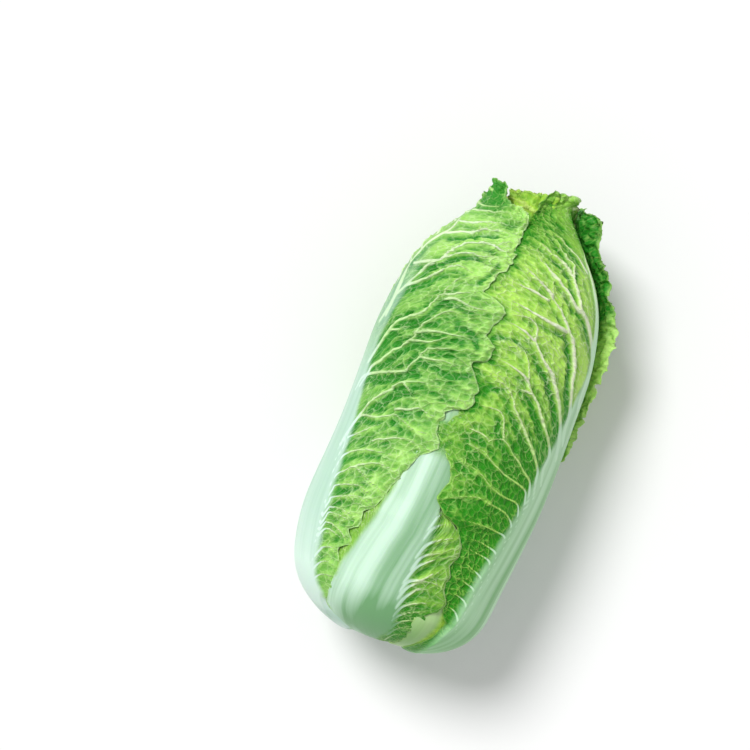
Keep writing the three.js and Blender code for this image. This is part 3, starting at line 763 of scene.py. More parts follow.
FRONT_MARGIN = [
    (7, -4), (9, 3), (12, 6), (16, 9), (20, 8), (26, 13), (28, 22), (33, 14), (38, 22), (44, 26), (52, 21),
    (62, 22), (68, 19), (75, 23), (82, 22), (88, 19), (91, 15), (95, 10), (97, 5), (100, 1), (108, 4),
    (130, 30), (150, 34), (240, 30),
]
FRONT_LEAF = {
    "node": "front_leaf", "seed": 3.0, "grid": (200, 16, 18, 34),
    "rib": [
        (0, -22), (20, -20.7), (30, -18), (40, -15), (50, -13), (60, -10.7), (80, -7.2), (100, -6.3),
        (240, -6),
    ],
    "rib_width": [
        (7, 8), (15, 19.5), (20, 23.5), (30, 23.5), (40, 22), (60, 19.6), (80, 17.8), (100, 15.8),
        (110, 15), (130, 12), (160, 8), (240, 3),
    ],
    "rib_thick": [(8, 4.5), (60, 4.5), (100, 3.8), (130, 2), (160, 1), (240, 0.3)],
    "left": [(12, -60), (20, -58), (40, -50), (100, -48), (150, -55), (240, -50)],
    "right": seen_from_above(FRONT_MARGIN),
    "vein": 1.8,
    "depth": {
        "left": [(0, 0.9), (14, 1.2), (24, 3.0), (50, 4.4), (100, 4.6), (135, 8.2)],
        "rib": [(0, 1.6), (30, 2.0), (86, 2.0), (98, 3.0), (112, 3.4), (160, 4.6), (180, 8.2)],
        "right": [
            (0, 1.2), (14, 1.8), (26, 2.8), (90, 3.1), (95, 3.6), (114, 4.2), (126, 6.0), (160, 7.0),
            (180, 8.2),
        ],
    },
    "tip": 240, "drop": (20, 20), "frill": (0, [(0, 0), (18, 1.6), (84, 1), (90, 0)], 0), "tuck": (0, 0.9),
    "faint": lambda form: 0.9 * smoothstep(form["rib_distance"], 1, -5),
    "calm": lambda form: smoothstep(form["height"], 125, 105) * (0.4 + 0.6 * smoothstep(form["margin"], 0, 5))
    * np.where(form["side"] < 0, smoothstep(form["rib_distance"], 10, 3), 1),
    "green": lambda form: 0.25 * smoothstep(form["height"], 118, 132)
    + np.where(form["side"] < 0, 0.45, 0.3 + 0.15 * smoothstep(form["rib_distance"], 4, 22))
    + 0.45 * smoothstep(form["height"], 50, 28) * (form["side"] > 0),
    "white": lambda form: np.maximum(
        smoothstep(form["height"], 136, 126), 0.6 * smoothstep(form["height"], 148, 153)
    ),
    "rib_tone_and_shade": lambda form: 0.5 * smoothstep(form["across"], -8, 14),
    "foot_shade": lambda form: smoothstep(form["across"], -24, -6),
    "folds": [
        (0.6, [(-24, 12), (-21, 30), (-20, 45), (-16, 72), (-13, 95), (-11, 106)]),
        (0.4, [(-33, 20), (-29, 38), (-26, 56), (-22, 80)]),
        (0.35, [(-14, 14), (-12, 35), (-11, 60), (-9, 85)]),
    ],
}
FRONT_VEINS = [
    (1.15, [(-3.5, 84), (-0.5, 92), (0.8, 95), (5.4, 98), (8.5, 99.3)]),
    (1.15, [(-3.8, 77.8), (-0.8, 85.8), (3.8, 90), (8.5, 92.4), (14, 94)]),
    (1.15, [(-4.5, 66.3), (-1.5, 74.3), (1.5, 78), (7.7, 82), (14.6, 85), (19.2, 89)]),
    (1.15, [(-4.5, 58.6), (-1.5, 66.6), (3.8, 71.2), (10, 74.3), (17, 78.5)]),
    (1.15, [(-6.8, 48.6), (-3.8, 56.6), (-0.8, 62), (4.6, 66.6), (10.8, 70.5), (17.7, 72.8)]),
    (1.15, [(-6.8, 43), (-3.8, 51), (4.6, 55), (9.2, 59.7), (14.6, 62.8), (20, 64.7)]),
    (1.15, [(-6.8, 37.8), (-3.8, 45.8), (1.5, 51.2), (9.2, 54.3), (20, 55)]),
    (1.15, [(-5.3, 32.5), (-2.3, 40.5), (0.8, 45), (5.4, 49), (10, 50.5), (20, 50)]),
    (1.05, [(-5, 26), (-2, 34), (3, 38), (10, 41), (22, 43)]),
    (1.05, [(-5, 23), (-2, 28), (2, 31), (8, 34), (16, 37)]),
    (0.9, [(-4, 18), (-1, 23), (3, 26), (8, 28), (14, 30)]),
    (0.9, [(-4, 13), (-1, 18), (2, 20.5), (7, 23)]),
    (0.9, [(-4, 9), (-1, 14), (2, 16), (6, 18)]),
    (1.0, [(-14, 120), (-14, 130), (-15, 140), (-16, 152)]),
    (0.8, [(-19, 118), (-24, 126), (-28, 136), (-30, 146)]),
    (0.8, [(-10, 118), (-7, 128), (-3, 138), (0, 148)]),
    (0.7, [(-14, 133), (-19, 140), (-22, 148)]),
    (0.7, [(-14.5, 137), (-10, 143), (-8, 150)]),
]
front_material = leaf_material(
    "front_leaf_skin", light=(0.44, 0.8, 0.1), deep=(0.03, 0.27, 0.008), vein=(0.9, 1.0, 0.74),
    rib=(0.66, 0.9, 0.72), rib_shade=(0.19, 0.42, 0.19), blister=(6.0, 3.4), streaks=0.5, seed=3.0,
)
grow("front_leaf_crinkled", FRONT_LEAF, front_material, FRONT_VEINS, {
    "Groove_Depth": 0.2, "Fold_Depth": 0.7, "Crumple_Depth": 0.6,
    "Blister_Length": 6.0, "Blister_Width": 3.4, "Blister_Depth": 0.7,
})

# The left leaf. The outermost leaf: its broad white rib runs up the left side of the head, and its
# crinkled blade is folded across the front, where its ragged margin lies on the right leaf.
LEFT_MARGIN = [
    (8, -26), (13, -36), (17, -43), (20, -46), (26, -45), (29, -43.5), (32, -45.8), (39, -47.3),
    (45, -47.3), (50, -50.4), (56, -52), (59, -47.3), (61, -44.6), (66, -48), (69, -49.6), (71, -46.5),
    (72, -44.2), (78, -43.8), (82, -45), (84, -43.5), (85.5, -39.6), (88, -38.8), (91.6, -36.5), (96, -35),
    (101, -34), (104, -33), (108, -30), (112, -29), (116, -27), (124, -24), (128, -20), (133, -13),
    (137, -14), (142, -18), (146, -18), (152, -16), (156, -17.5), (159, -12), (161, -5), (164, -2.5),
    (168, -2), (171, -3), (174, -1), (176, -2), (183, -8), (187, -11), (190, -10), (191, -6), (192, -3),
    (196, -1.5), (199, -1), (203, -1), (205, -5), (207, -9), (210, -7.5), (214, -6.5), (217, -5), (220, -3),
    (224, -2), (227, -4), (230, -10), (232, -20), (236, -17), (240, -16), (243, -14.5), (247, -14),
    (249, -10), (252, -9.5), (255, -8), (262, -7), (267, -8), (272, -7), (281, -6), (286, -8), (292, -8),
]


def x_of(form):
    """The x of a leaf's points as seen from above, in millimetres."""
    return sway(form["height"]) + form["radius"] * np.sin(np.radians(form["azimuth"]))


def left_leaf_green(form):
    """Deepest across the middle, pale along the margin, a dark curl at the top and painted shade in the dip
    beside it.
    """
    middle = 0.3 * np.exp(-(((form["height"] - 186) / 40) ** 2))
    margin = 0.3 * smoothstep(form["margin"], 20, 2) * smoothstep(form["height"], 110, 150)
    upper = 0.28 * smoothstep(form["height"], 225, 255)
    curl = 0.95 * smoothstep(form["height"], 276, 289) * smoothstep(form["margin"], 5, 12)
    curl = curl * (0.4 + 0.6 * smoothstep(form["azimuth"], -95, -65))
    # painted shade in the dip behind the margin, beside the curl
    shaded_hollow = 0.75 * np.exp(-(((x_of(form) + 16) / 8) ** 2) - ((form["height"] - 279) / 5) ** 2)
    return 0.38 + middle - margin - upper + np.maximum(curl, shaded_hollow)


LEFT_LEAF = {
    "node": "left_leaf", "seed": 11.0, "grid": (400, 38, 14, 102),
    "rib": [
        (0, -78), (60, -78), (106, -81), (150, -83), (185, -82), (218, -71), (250, -66), (263, -60),
        (290, -60),
    ],
    "rib_width": [
        (7, 7.6), (15, 20), (25, 28), (60, 31), (80, 31), (106, 28), (130, 24), (150, 20), (170, 15),
        (200, 8), (230, 4), (290, 2.5),
    ],
    "rib_thick": [(8, 6), (60, 6), (100, 5.5), (150, 4), (200, 2.4), (290, 0.6)],
    "left": [
        (10, -108), (60, -108), (100, -111), (122, -113), (138, -132), (150, -146), (260, -150),
        (292, -140),
    ],
    "right": seen_from_above(LEFT_MARGIN),
    "vein": 1.8,
    "depth": {
        "left": [(100, 3), (130, 3.4)], "rib": 0,
        "right": [(0, 0.4), (10, 0.9), (16, 1.7), (24, 2.0), (40, 2.2), (60, 2.3), (130, 1.9), (160, 1.7)],
    },
    "tip": 302,
    "drop": (
        [(0, 0), (0.3, 8), (1, 18)], [(0, 1), (0.12, 0), (0.28, 3), (0.46, 14), (0.6, 16), (1, 18)],
    ),
    "frill": (0, [(30, 0), (70, 1.2)], 1.0), "flare": 5.0, "flare_band": 16, "tuck": (0, 1.0), "far_side": -1,
    "thin": [(60, 0.62), (110, 0.7), (160, 0.85), (210, 1.0)],
    "calm": lambda form: 1 - 0.6 * smoothstep(form["margin"], 5, 0),
    "ruffle": {
        "left": 0, "right": [(245, 0.8), (275, 1.7)], "top": 1.9, "length": 8.0, "zone": 11.0, "pleat": 0.9,
        "pillow": 0.9,
    },
    "foot_shade": lambda form: smoothstep(form["height"], 24, 10),
    "border": lambda form: -14 * smoothstep(form["height"], 24, 12)
    - 6 * smoothstep(form["height"], 165, 200) * smoothstep(form["height"], 270, 225),
    "folds": [
        (1.6, [(-47, 243), (-40, 248), (-30, 251)]),
        (1.6, [(-63.8, 159), (-57, 162.8), (-50.8, 166.6), (-47, 169.7), (-40, 170.5)]),
        (1.4, [(-50, 257), (-42, 260), (-32, 265.5), (-22, 268.5)]),
        (1.2, [(-58, 196), (-50, 203), (-44, 211), (-39, 219)]),
        (1.1, [(-60, 140), (-54, 148), (-47, 156), (-40, 160)]),
        (1.3, [(-24, 236), (-20, 241), (-17, 246), (-16, 251)]),
        (1.2, [(-27, 206), (-20, 206), (-15, 203), (-12, 198)]),
        (1.2, [(-30, 178), (-22, 176), (-15, 179), (-10, 181)]),
    ],
    "green": left_leaf_green,
    "white": lambda form: smoothstep(form["height"], 262, 200)
    * (1 - 0.5 * smoothstep(form["height"], 150, 200)),
    # a deeper tone at mid height, lighter low down, and painted shade along the rib's left edge, where it
    # curves down away from the lamp
    "rib_tone_and_shade": lambda form: 0.3 * smoothstep(form["height"], 40, 90) * smoothstep(form["height"], 210, 150)
    + 0.25 * smoothstep(form["across"], -4, -18) - 0.4 * smoothstep(form["height"], 50, 22)
    + 0.12 * smoothstep(form["height"], 30, 55),
}
LEFT_VEINS = [
    (1.9, [
        (-70, 200), (-68, 218), (-66, 235), (-63, 243), (-60, 250), (-55, 257), (-50, 263), (-47, 269),
        (-44, 277), (-42, 280), (-37, 284), (-33, 289),
    ]),
    (0.9, [(-44, 278), (-36, 281), (-27, 283), (-18, 283)]),
    (0.8, [(-37, 284), (-30, 286), (-22, 289)]),
    (0.9, [(-46, 270), (-38, 272), (-30, 275), (-22, 278), (-14, 279)]),
    (1.2, [(-52, 260), (-45, 263), (-40, 265), (-32, 269), (-25, 272), (-15, 273)]),
    (1.2, [
        (-64, 236), (-57, 240), (-50, 244), (-46, 250), (-41.5, 255), (-37, 258), (-30, 261), (-23, 262.4),
        (-14, 266.6), (-9, 269),
    ]),
    (0.8, [(-23, 262), (-18.5, 260.5), (-11, 260)]),
    (1.4, [
        (-72, 195), (-70, 205), (-68.5, 213), (-64.6, 221), (-60.8, 229), (-57, 236.6), (-50.8, 242.8),
        (-45.4, 247.4), (-40, 250.5), (-33.8, 252.4), (-27, 252.8), (-14.6, 255.5),
    ]),
    (1.0, [
        (-64.6, 221), (-57, 227.4), (-50.8, 233.5), (-45.4, 239), (-40, 242.4), (-36, 242.8),
        (-30.8, 241.2), (-24.6, 239.3),
    ]),
    (1.6, [
        (-70.5, 169), (-68.5, 179), (-65.4, 191), (-62.3, 199), (-57.7, 202.8), (-50, 208), (-46, 216.6),
        (-42.3, 223.5), (-40, 229), (-37, 233.5), (-32, 236.6), (-27, 239),
    ]),
    (0.9, [(-42, 223), (-37, 224.3), (-30.8, 227.4), (-23, 230.5)]),
    (0.9, [(-40.5, 220.5), (-33.8, 222.4), (-23, 220.8), (-10.8, 222)]),
    (0.8, [(-65.4, 191), (-60, 195), (-54.6, 198)]),
    (1.4, [
        (-70.5, 153), (-68.5, 163), (-67.7, 167.4), (-63, 173.5), (-59.2, 181.2), (-53.8, 186.6),
        (-50.8, 191.2), (-49, 198), (-47, 202.8), (-43, 206.6), (-40, 210.5), (-33.8, 214.3),
        (-27.7, 213.5), (-20, 211),
    ]),
    (0.9, [(-50.8, 189.7), (-46, 191.2), (-40, 192.4), (-33.8, 196.6), (-30, 199)]),
    (0.9, [(-48.8, 195.5), (-45.4, 197.8), (-37, 200), (-30, 200.8), (-20, 202), (-10.8, 201)]),
    (1.3, [
        (-72, 150), (-70, 160), (-60.8, 165.8), (-48.5, 171), (-46, 177.4), (-43, 182.8), (-40, 188),
        (-35.4, 189.7), (-27.7, 192.4), (-21.5, 193), (-16, 195.8), (-6, 195.5),
    ]),
    (0.9, [(-43, 182), (-33.8, 183), (-26, 184.3), (-17, 182.8)]),
    (1.3, [
        (-70, 115), (-68, 125), (-65.4, 135), (-62.3, 144.3), (-57.7, 152), (-53, 158), (-49.2, 162.8),
        (-43.8, 165.8), (-37, 167.8), (-27.7, 168), (-20, 167.8), (-14.6, 165.8),
    ]),
    (0.9, [(-47, 164), (-43, 161), (-39, 158), (-34.6, 156.6)]),
    (1.2, [
        (-70, 112), (-68, 122), (-67, 128), (-63.8, 136.6), (-57, 138), (-50.8, 140.8), (-46, 144),
        (-43, 143), (-37, 141), (-32.3, 139.3), (-22.3, 139.3), (-15.4, 138),
    ]),
    (1.0, [(-47, 146.6), (-44.6, 148), (-38.5, 149.7), (-33, 152.4), (-27, 151.2), (-18.5, 150.5)]),
    (1.0, [
        (-69.5, 105), (-67.5, 115), (-67, 120.5), (-63, 125), (-57.7, 130.5), (-52.3, 135.8), (-47, 138),
    ]),
    (1.1, [
        (-69, 96), (-67, 106), (-65.4, 110.5), (-60.8, 115), (-54.6, 117.8), (-47.7, 119.3), (-40, 120.5),
        (-30.8, 121.2),
    ]),
    (0.8, [(-54, 124), (-50, 126.6), (-46, 128), (-40, 131.2), (-30, 132), (-22, 131)]),
    (0.9, [(-57.7, 106.6), (-49.2, 111.2), (-43.8, 112.8), (-37, 112), (-30.8, 110.5)]),
    (0.9, [
        (-68, 87), (-66, 97), (-62.7, 101), (-59.6, 104.7), (-55.8, 105), (-52, 102.8), (-47.3, 100.8),
        (-38.8, 98), (-35, 95.8),
    ]),
    (0.9, [(-67.5, 77), (-65.5, 87), (-64.6, 90.8), (-58.8, 94), (-52, 95.8), (-46.5, 94), (-37.3, 91.6)]),
    (0.9, [(-67, 70), (-65, 80), (-64.6, 83), (-58.8, 86.6), (-51, 89.7), (-45, 89), (-39.6, 86.6)]),
    (0.8, [(-66.5, 65), (-64.5, 75), (-63.5, 77.4), (-58.8, 78.5), (-51, 78), (-45, 78)]),
    (0.8, [(-66, 60), (-64, 70), (-62.7, 74.3), (-54.2, 74.3), (-45.8, 74.3)]),
    (0.8, [(-65.5, 56), (-63.5, 66), (-62, 68), (-55.8, 66.6), (-50.4, 63.5), (-45, 61.2)]),
    (0.8, [(-65, 52), (-63, 62), (-60.4, 64.3), (-54.2, 62), (-51, 59)]),
    (0.8, [(-63, 40), (-61, 50), (-59.6, 52.8), (-55, 54), (-51, 51.2)]),
    (0.7, [(-61, 32), (-59, 42), (-55, 45), (-49, 44)]),
    (0.7, [(-59, 24), (-57, 34), (-53, 37), (-47, 37)]),
]
left_material = leaf_material(
    "left_leaf_skin", light=(0.46, 0.86, 0.175), deep=(0.022, 0.27, 0.012), vein=(0.82, 0.98, 0.67),
    rib=(0.66, 0.86, 0.74), rib_shade=(0.3, 0.54, 0.38), blister=(6.0, 3.6), seed=11.0,
)
grow("left_leaf_crinkled", LEFT_LEAF, left_material, LEFT_VEINS, {
    "Blister_Length": 6.0, "Blister_Width": 3.6, "Blister_Depth": 0.75,
})

# The right leaf. Its rib runs up the right side of the head and curls in over the crown. The blade
# spreads to the left under the left leaf, and low down it slips behind the front leaf's wing.
FRONT_LAP_TOP = 97.0  # below this height it is the front leaf that laps over the right one


def right_leaf_green(form):
    """Deep green low down and at the crown, yellow-green in the middle, and a painted shadow beside the left
    leaf's margin.
    """
    beyond = x_of(form) - knots(LEFT_MARGIN, form["height"])
    # painted shadow cast by the left leaf's margin onto this leaf
    shadow = 0.7 * np.exp(-((np.maximum(beyond, 0) / 5.5) ** 2)) * smoothstep(form["height"], 140, 165)
    away = smoothstep(-form["side"] * form["rib_distance"], 5, 75)
    low = smoothstep(form["height"], 205, 115) * (1 - 0.4 * away * smoothstep(form["height"], 90, 120))
    middle = 0.3 * np.exp(-(((form["height"] - 225) / 40) ** 2))
    crown = 0.58 * smoothstep(form["height"], 260, 289) - 0.12 * smoothstep(form["top"], 11, 4)
    rim = 0.3 * smoothstep(form["height"], 170, 200) * smoothstep(np.abs(form["rib_distance"]), 12, 2)
    return 0.3 + 0.8 * low + shadow - middle + crown - rim


def right_leaf_calm(form):
    """The relief dies away under the two leaves that lap over it."""
    height = form["height"]
    lap = np.where(height > FRONT_LAP_TOP, knots(LEFT_MARGIN, height), knots(FRONT_MARGIN, height))
    return smoothstep(x_of(form) - lap, -1, 4)


RIGHT_LEAF = {
    "node": "right_leaf", "seed": 17.0, "grid": (400, 90, 15, 14),
    "rib": [
        (0, 68), (25, 70), (60, 73), (100, 77), (125, 79), (146, 80), (190, 79), (205, 77.5), (223, 74.5),
        (238, 71.5), (253, 67), (266, 63), (288, 62), (297, 57),
    ],
    "rib_width": [
        (7, 7.4), (15, 22), (25, 29), (60, 32.5), (100, 33), (120, 31), (146, 28), (158, 23), (173, 19),
        (196, 12), (210, 8), (225, 5), (260, 4), (300, 2.5),
    ],
    "rib_thick": [(8, 6), (60, 6), (100, 5.5), (150, 4), (200, 2.4), (300, 0.6)],
    "left": seen_from_above([
        (8, 9), (14, 17), (20, 23), (29, 28), (32, 29), (37, 26), (45, 22), (60, 18), (86, 19), (92, 15),
        (95, 9), (97, 4), (100, 0), (103, -3), (106, -5), (110, -3), (116, -1), (122, -1), (128, -5),
        (133, -10), (140, -16), (146, -18), (150, -14), (158, -9), (164, -14), (215, -18), (225, -26),
        (245, -26), (255, -18), (270, -14), (285, -6), (300, -2),
    ]),
    "right": [(10, 108), (60, 109), (100, 111), (150, 112), (200, 112), (250, 108), (300, 92)],
    "vein": 1.8,
    "depth": {
        "left": [
            (0, 1), (10, 1.8), (25, 2.6), (40, 4.2), (90, 4.2), (98, 2.0), (124, 2.0), (136, 2.9),
            (160, 3.2),
        ],
        "rib": 0, "right": 3,
    },
    "tip": 308, "drop": ([(0, 0), (0.7, 0), (0.85, 3), (1, 12)], 14), "frill": (0, 0, 1), "flare": 4.0,
    "far_side": 1,
    "thin": [(60, 0.6), (110, 0.65), (150, 0.75), (190, 0.9), (230, 1.05)],
    "calm": right_leaf_calm,
    "ruffle": {"left": 0.6, "right": 0, "top": 2.0, "length": 8.0, "zone": 11.0, "pleat": 1.0, "pillow": 0.8},
    "border": lambda form: 2.0 * smoothstep(form["height"], 180, 225),
    "folds": [
        (1.2, [(-4, 207), (3, 209.5), (10, 210), (20, 206)]),
        (1.1, [(0, 175.8), (7, 178.2), (13.8, 179.7)]),
        (0.8, [(30, 176), (24, 183), (20, 190)]),
        (0.9, [(52, 226), (45, 235), (38, 244), (32, 252)]),
        (0.9, [(58, 226), (53, 238), (47, 249), (40, 259)]),
    ],
    "green": right_leaf_green,
    "white": lambda form: smoothstep(form["height"], 290, 225),
    "foot_shade": 0.6,
    # painted shade down the rib's right side, which faces away from the lamp; it fades round the back and
    # towards the crown
    "rib_tone_and_shade": lambda form: (0.14 + 0.66 * smoothstep(form["side"] * (form["rib_distance"] + 16), -2, 12))
    * smoothstep(form["azimuth"], 108, 92)
    * (1 - 0.75 * smoothstep(form["height"], 170, 215)),
}
RIGHT_VEINS = [
    (2.4, [
        (63, 180), (61, 190), (61.5, 205), (61, 212), (58.6, 223.5), (55, 238), (52, 246.6), (48.4, 253.5),
        (44.2, 260.5), (40, 266.6), (35.4, 272.8), (30.8, 280.5), (23.8, 289.7), (17.7, 297.4),
    ]),
    (1.2, [(39.2, 265.8), (30, 274.3), (22.3, 279), (15.4, 282), (10, 284.3)]),
    (2.0, [
        (61, 212), (59, 219.7), (53.8, 230.5), (48.5, 238), (43, 242.8), (39.2, 249.7), (34.6, 255.8),
        (32, 261), (31, 265.8), (28.5, 269), (23, 272.8), (15.4, 279), (8.5, 284.3),
    ]),
    (1.2, [(32, 260.5), (27, 264.3), (20.8, 267.8), (13, 271), (5.4, 274.3), (0.8, 276)]),
    (1.3, [
        (43, 241), (37.7, 245), (31.5, 250.5), (25.4, 254.3), (18.5, 258), (12.3, 262), (5.4, 266.6),
        (0.8, 269),
    ]),
    (2.1, [
        (60, 160), (58, 170), (57.7, 179), (55.4, 189), (53, 198), (50.8, 209), (47, 218), (43.8, 223.5),
        (39.2, 229), (35.4, 232.8), (30.8, 237.4), (26, 241), (23, 245), (21.5, 250.5), (20, 255),
        (16, 259),
    ]),
    (1.0, [(23.8, 242.8), (20, 246.6), (13.8, 249.7), (7.7, 252.8), (0.8, 256), (-3.8, 258)]),
    (0.9, [(22, 241), (16, 242), (9.2, 243.5), (1.5, 244), (-5.4, 245.8)]),
    (1.3, [(39.2, 226.6), (33, 227.4), (25.4, 228.5), (19.2, 229.7), (9.2, 231.6), (-3, 233.5)]),
    (2.0, [
        (59, 150), (57, 160), (54.6, 170.5), (51.5, 178), (47.7, 185), (43.8, 191.2), (40, 197.4),
        (36, 200.5), (31.5, 204.3), (27, 209), (22.3, 214.3), (21, 219.7), (20, 223.5), (15.4, 226.2),
        (9.2, 226.2), (0.8, 224.3),
    ]),
    (0.9, [(21.5, 214.3), (17, 216.6), (10.8, 218.5), (1.5, 220)]),
    (1.7, [
        (55, 132), (53, 142), (53.8, 150.5), (51.5, 158), (47.7, 163.5), (43.8, 169), (40, 173.5),
        (35.4, 179.7), (30.8, 183.5), (27.7, 188), (25.4, 193.5), (23, 199), (20, 203.5), (16, 207.4),
        (6, 209),
    ]),
    (0.9, [(27, 189), (22.3, 192), (16, 194), (10, 195.5), (0, 196.2)]),
    (0.8, [(30, 183), (27, 183.5), (22.3, 183.2)]),
    (1.6, [
        (53, 123), (51, 133), (50, 139.7), (47, 145), (43, 150.5), (39.2, 155), (35.4, 159), (30.8, 164.3),
        (26, 169), (23, 172), (20, 177.4), (15.4, 181.2), (10, 183.5), (3.8, 185.8), (-5.4, 187.8),
    ]),
    (1.4, [
        (51, 117), (49, 127), (47, 132.8), (42.3, 136.6), (37.7, 141.2), (33, 144.3), (29.2, 147.4),
        (25.4, 150.5), (20.8, 150.8), (15.4, 147.8), (15, 141.2),
    ]),
    (0.9, [(24, 151), (21.5, 156.6), (20, 162), (16, 166.6), (9.2, 167), (0, 166)]),
    (0.9, [(15.4, 147.8), (9.2, 150.5), (1.5, 151.2), (-6, 154.3)]),
    (1.1, [
        (50, 112), (48, 122), (46, 126.6), (39.2, 129.3), (33, 131.2), (27, 133.5), (20.8, 136.6),
        (14.6, 140.5), (8.5, 141.2), (1.5, 142.4), (-10, 145),
    ]),
    (1.0, [
        (48.5, 103), (46.5, 113), (43.8, 117.4), (36, 118.5), (30, 120), (23.8, 122.8), (18.5, 126.6),
        (12.3, 129), (5.4, 131.2), (-2.3, 134),
    ]),
    (1.0, [
        (47, 94), (45, 104), (40, 109), (33, 111.2), (27, 112), (20.8, 113.5), (11.5, 111.2), (1.5, 106.6),
        (-5, 104),
    ]),
    (0.8, [(46, 85), (44, 95), (38, 97), (30, 98), (20.8, 97.8), (13.8, 96.2), (10, 92.8)]),
    (0.8, [(44, 74), (42, 84), (36, 87), (30, 88), (22, 87)]),
    (0.8, [(43, 65), (41, 75), (39.2, 79), (33, 80.5), (27, 81.6), (22.3, 81.2)]),
    (0.8, [(41, 56), (39, 66), (34, 70), (28, 72), (22, 71)]),
    (0.8, [(39, 48), (37, 58), (32, 61), (26, 62), (21, 61)]),
    (0.7, [(37, 39), (35, 49), (30, 52), (24, 52)]),
    (0.7, [(35, 30), (33, 40), (29, 43), (24, 43)]),
]
right_material = leaf_material(
    "right_leaf_skin", light=(0.5, 0.9, 0.12), deep=(0.022, 0.28, 0.005), vein=(0.9, 1.0, 0.7),
    rib=(0.6, 0.88, 0.6), rib_shade=(0.22, 0.52, 0.2), blister=(5.5, 3.4), streaks=0.45, seed=17.0,
)
grow("right_leaf_crinkled", RIGHT_LEAF, right_material, RIGHT_VEINS, {
    "Tooth_Depth": 0.8, "Crumple_Depth": 0.7,
    "Blister_Length": 5.5, "Blister_Width": 3.4, "Blister_Depth": 0.65,
})

# The rear right leaf. A dark outer leaf of the far side: its frilled margin stands out along the right
# side of the head, behind the right leaf's rib, and curls round the crown.
REAR_RIGHT_LEAF = {
    "node": "rear_right_leaf", "seed": 23.0, "grid": (400, 62, 7, 16), "inside_step": 1,
    "rib": [(0, 125), (25, 126), (60, 128), (200, 124), (310, 112)],
    "rib_width": [(7, 7.2), (15, 17), (25, 22.5), (60, 25), (100, 23), (150, 14), (200, 8), (310, 2.5)],
    "rib_thick": [(8, 6), (60, 6), (100, 5.5), (150, 4), (200, 2.4), (310, 0.6)],
    "left": [
        (10, 100), (60, 104), (100, 106), (138, 104), (146, 94), (180, 90), (212, 88), (240, 85), (270, 74),
        (285, 64), (300, 50), (312, 42),
    ],
    "right": [(10, 160), (60, 160), (100, 160), (150, 162), (310, 160)],
    "vein": 1.8,
    "depth": {
        "left": [
            (100, 0), (116, -1), (134, -2), (146, -1.5), (152, -4), (165, -5), (180, -6.5), (192, -8.5),
            (198, -7.5), (201.5, -5.5), (205, -8.5), (212, -10), (220, -10), (228, -12), (236, -12),
            (244, -10.5), (251, -8.5), (255, -6.5), (260, -9.5), (266, -10), (272, -9), (276, -8.5),
            (284, -12), (289, -12.5), (293, -13), (298, -13), (304, -11), (310, -8),
        ],
        "rib": 0, "right": 3.4,
    },
    "tip": 305, "drop": ([(0, 0), (0.6, 3), (0.8, 9), (0.92, 14), (1, 21)], 8), "frill": (0, 0, 1), "roll": 3,
    "flare": 6.0, "flare_band": 24, "vein_size": 0.45, "spacing": 13.0,
    "ruffle": {
        "left": 2.0, "right": 0, "top": 1.6, "length": 12.0, "zone": 17.0, "from": (125, 165), "pleat": -0.7,
        "pillow": 0.75, "lobe": 1.15,
    },
    "faint": lambda form: 1.2 * smoothstep(form["height"], 170, 215),
    # darker at the top, and deeper away from the light frilled margin, partly painted shade where the right
    # leaf's rib shades it
    "green": lambda form: 0.22 + 0.83 * smoothstep(form["height"], 220, 252)
    - (0.5 - 0.35 * smoothstep(form["height"], 235, 262)) * smoothstep(form["margin"], 16, 3),
    "foot_shade": 0.5,
    "white": lambda form: smoothstep(form["height"], 215, 150),
}
dark_material = leaf_material(
    "rear_right_leaf_skin", light=(0.6, 0.95, 0.24), deep=(0.018, 0.24, 0.014), vein=(0.5, 0.84, 0.26),
    rib=(0.62, 0.84, 0.64), rib_shade=(0.3, 0.54, 0.32), blister=(6.0, 5.0), net=0.3, seed=23.0,
)
grow("rear_right_leaf_frilled", REAR_RIGHT_LEAF, dark_material, None, {
    "Tooth_Depth": 0.9, "Curl_Depth": 0.9, "Fold_Depth": 0.3, "Crumple_Depth": 0.4,
    "Blister_Length": 6.0, "Blister_Width": 5.0,
})

# The under leaf and the rear left leaf. Outer leaves of the side that the head lies on. The under leaf
# is outermost, pressed flat where it rests, and the rear left leaf's rib shows beside it at the foot.
UNDER_LEAF = {
    "node": "under_leaf", "seed": 29.0, "grid": (300, 34, 12, 36),
    "rib": [(0, 179), (300, 176)],
    "rib_width": [(7, 7.4), (15, 19), (25, 26), (60, 28), (100, 25), (150, 16), (200, 10), (300, 3)],
    "rib_thick": [(8, 6), (60, 6), (100, 5.5), (150, 4), (200, 3), (300, 0.6)],
    "left": [(10, 153), (60, 153), (100, 150), (150, 139), (300, 137)],
    "right": [(10, 206), (60, 206), (100, 211), (150, 224), (200, 232), (300, 228)],
    "vein": 1.8,
    "depth": {"left": [(0, 0), (100, -1.6), (300, -2)], "rib": 0, "right": [(0, 0), (100, -0.8)]},
    "tip": 300, "drop": (8, 8), "frill": ([(60, 0), (120, 2)], [(60, 0), (120, 2.5)], 2.5),
    "green": 0.6, "foot_shade": 0.5, "spacing": 13.0,
}
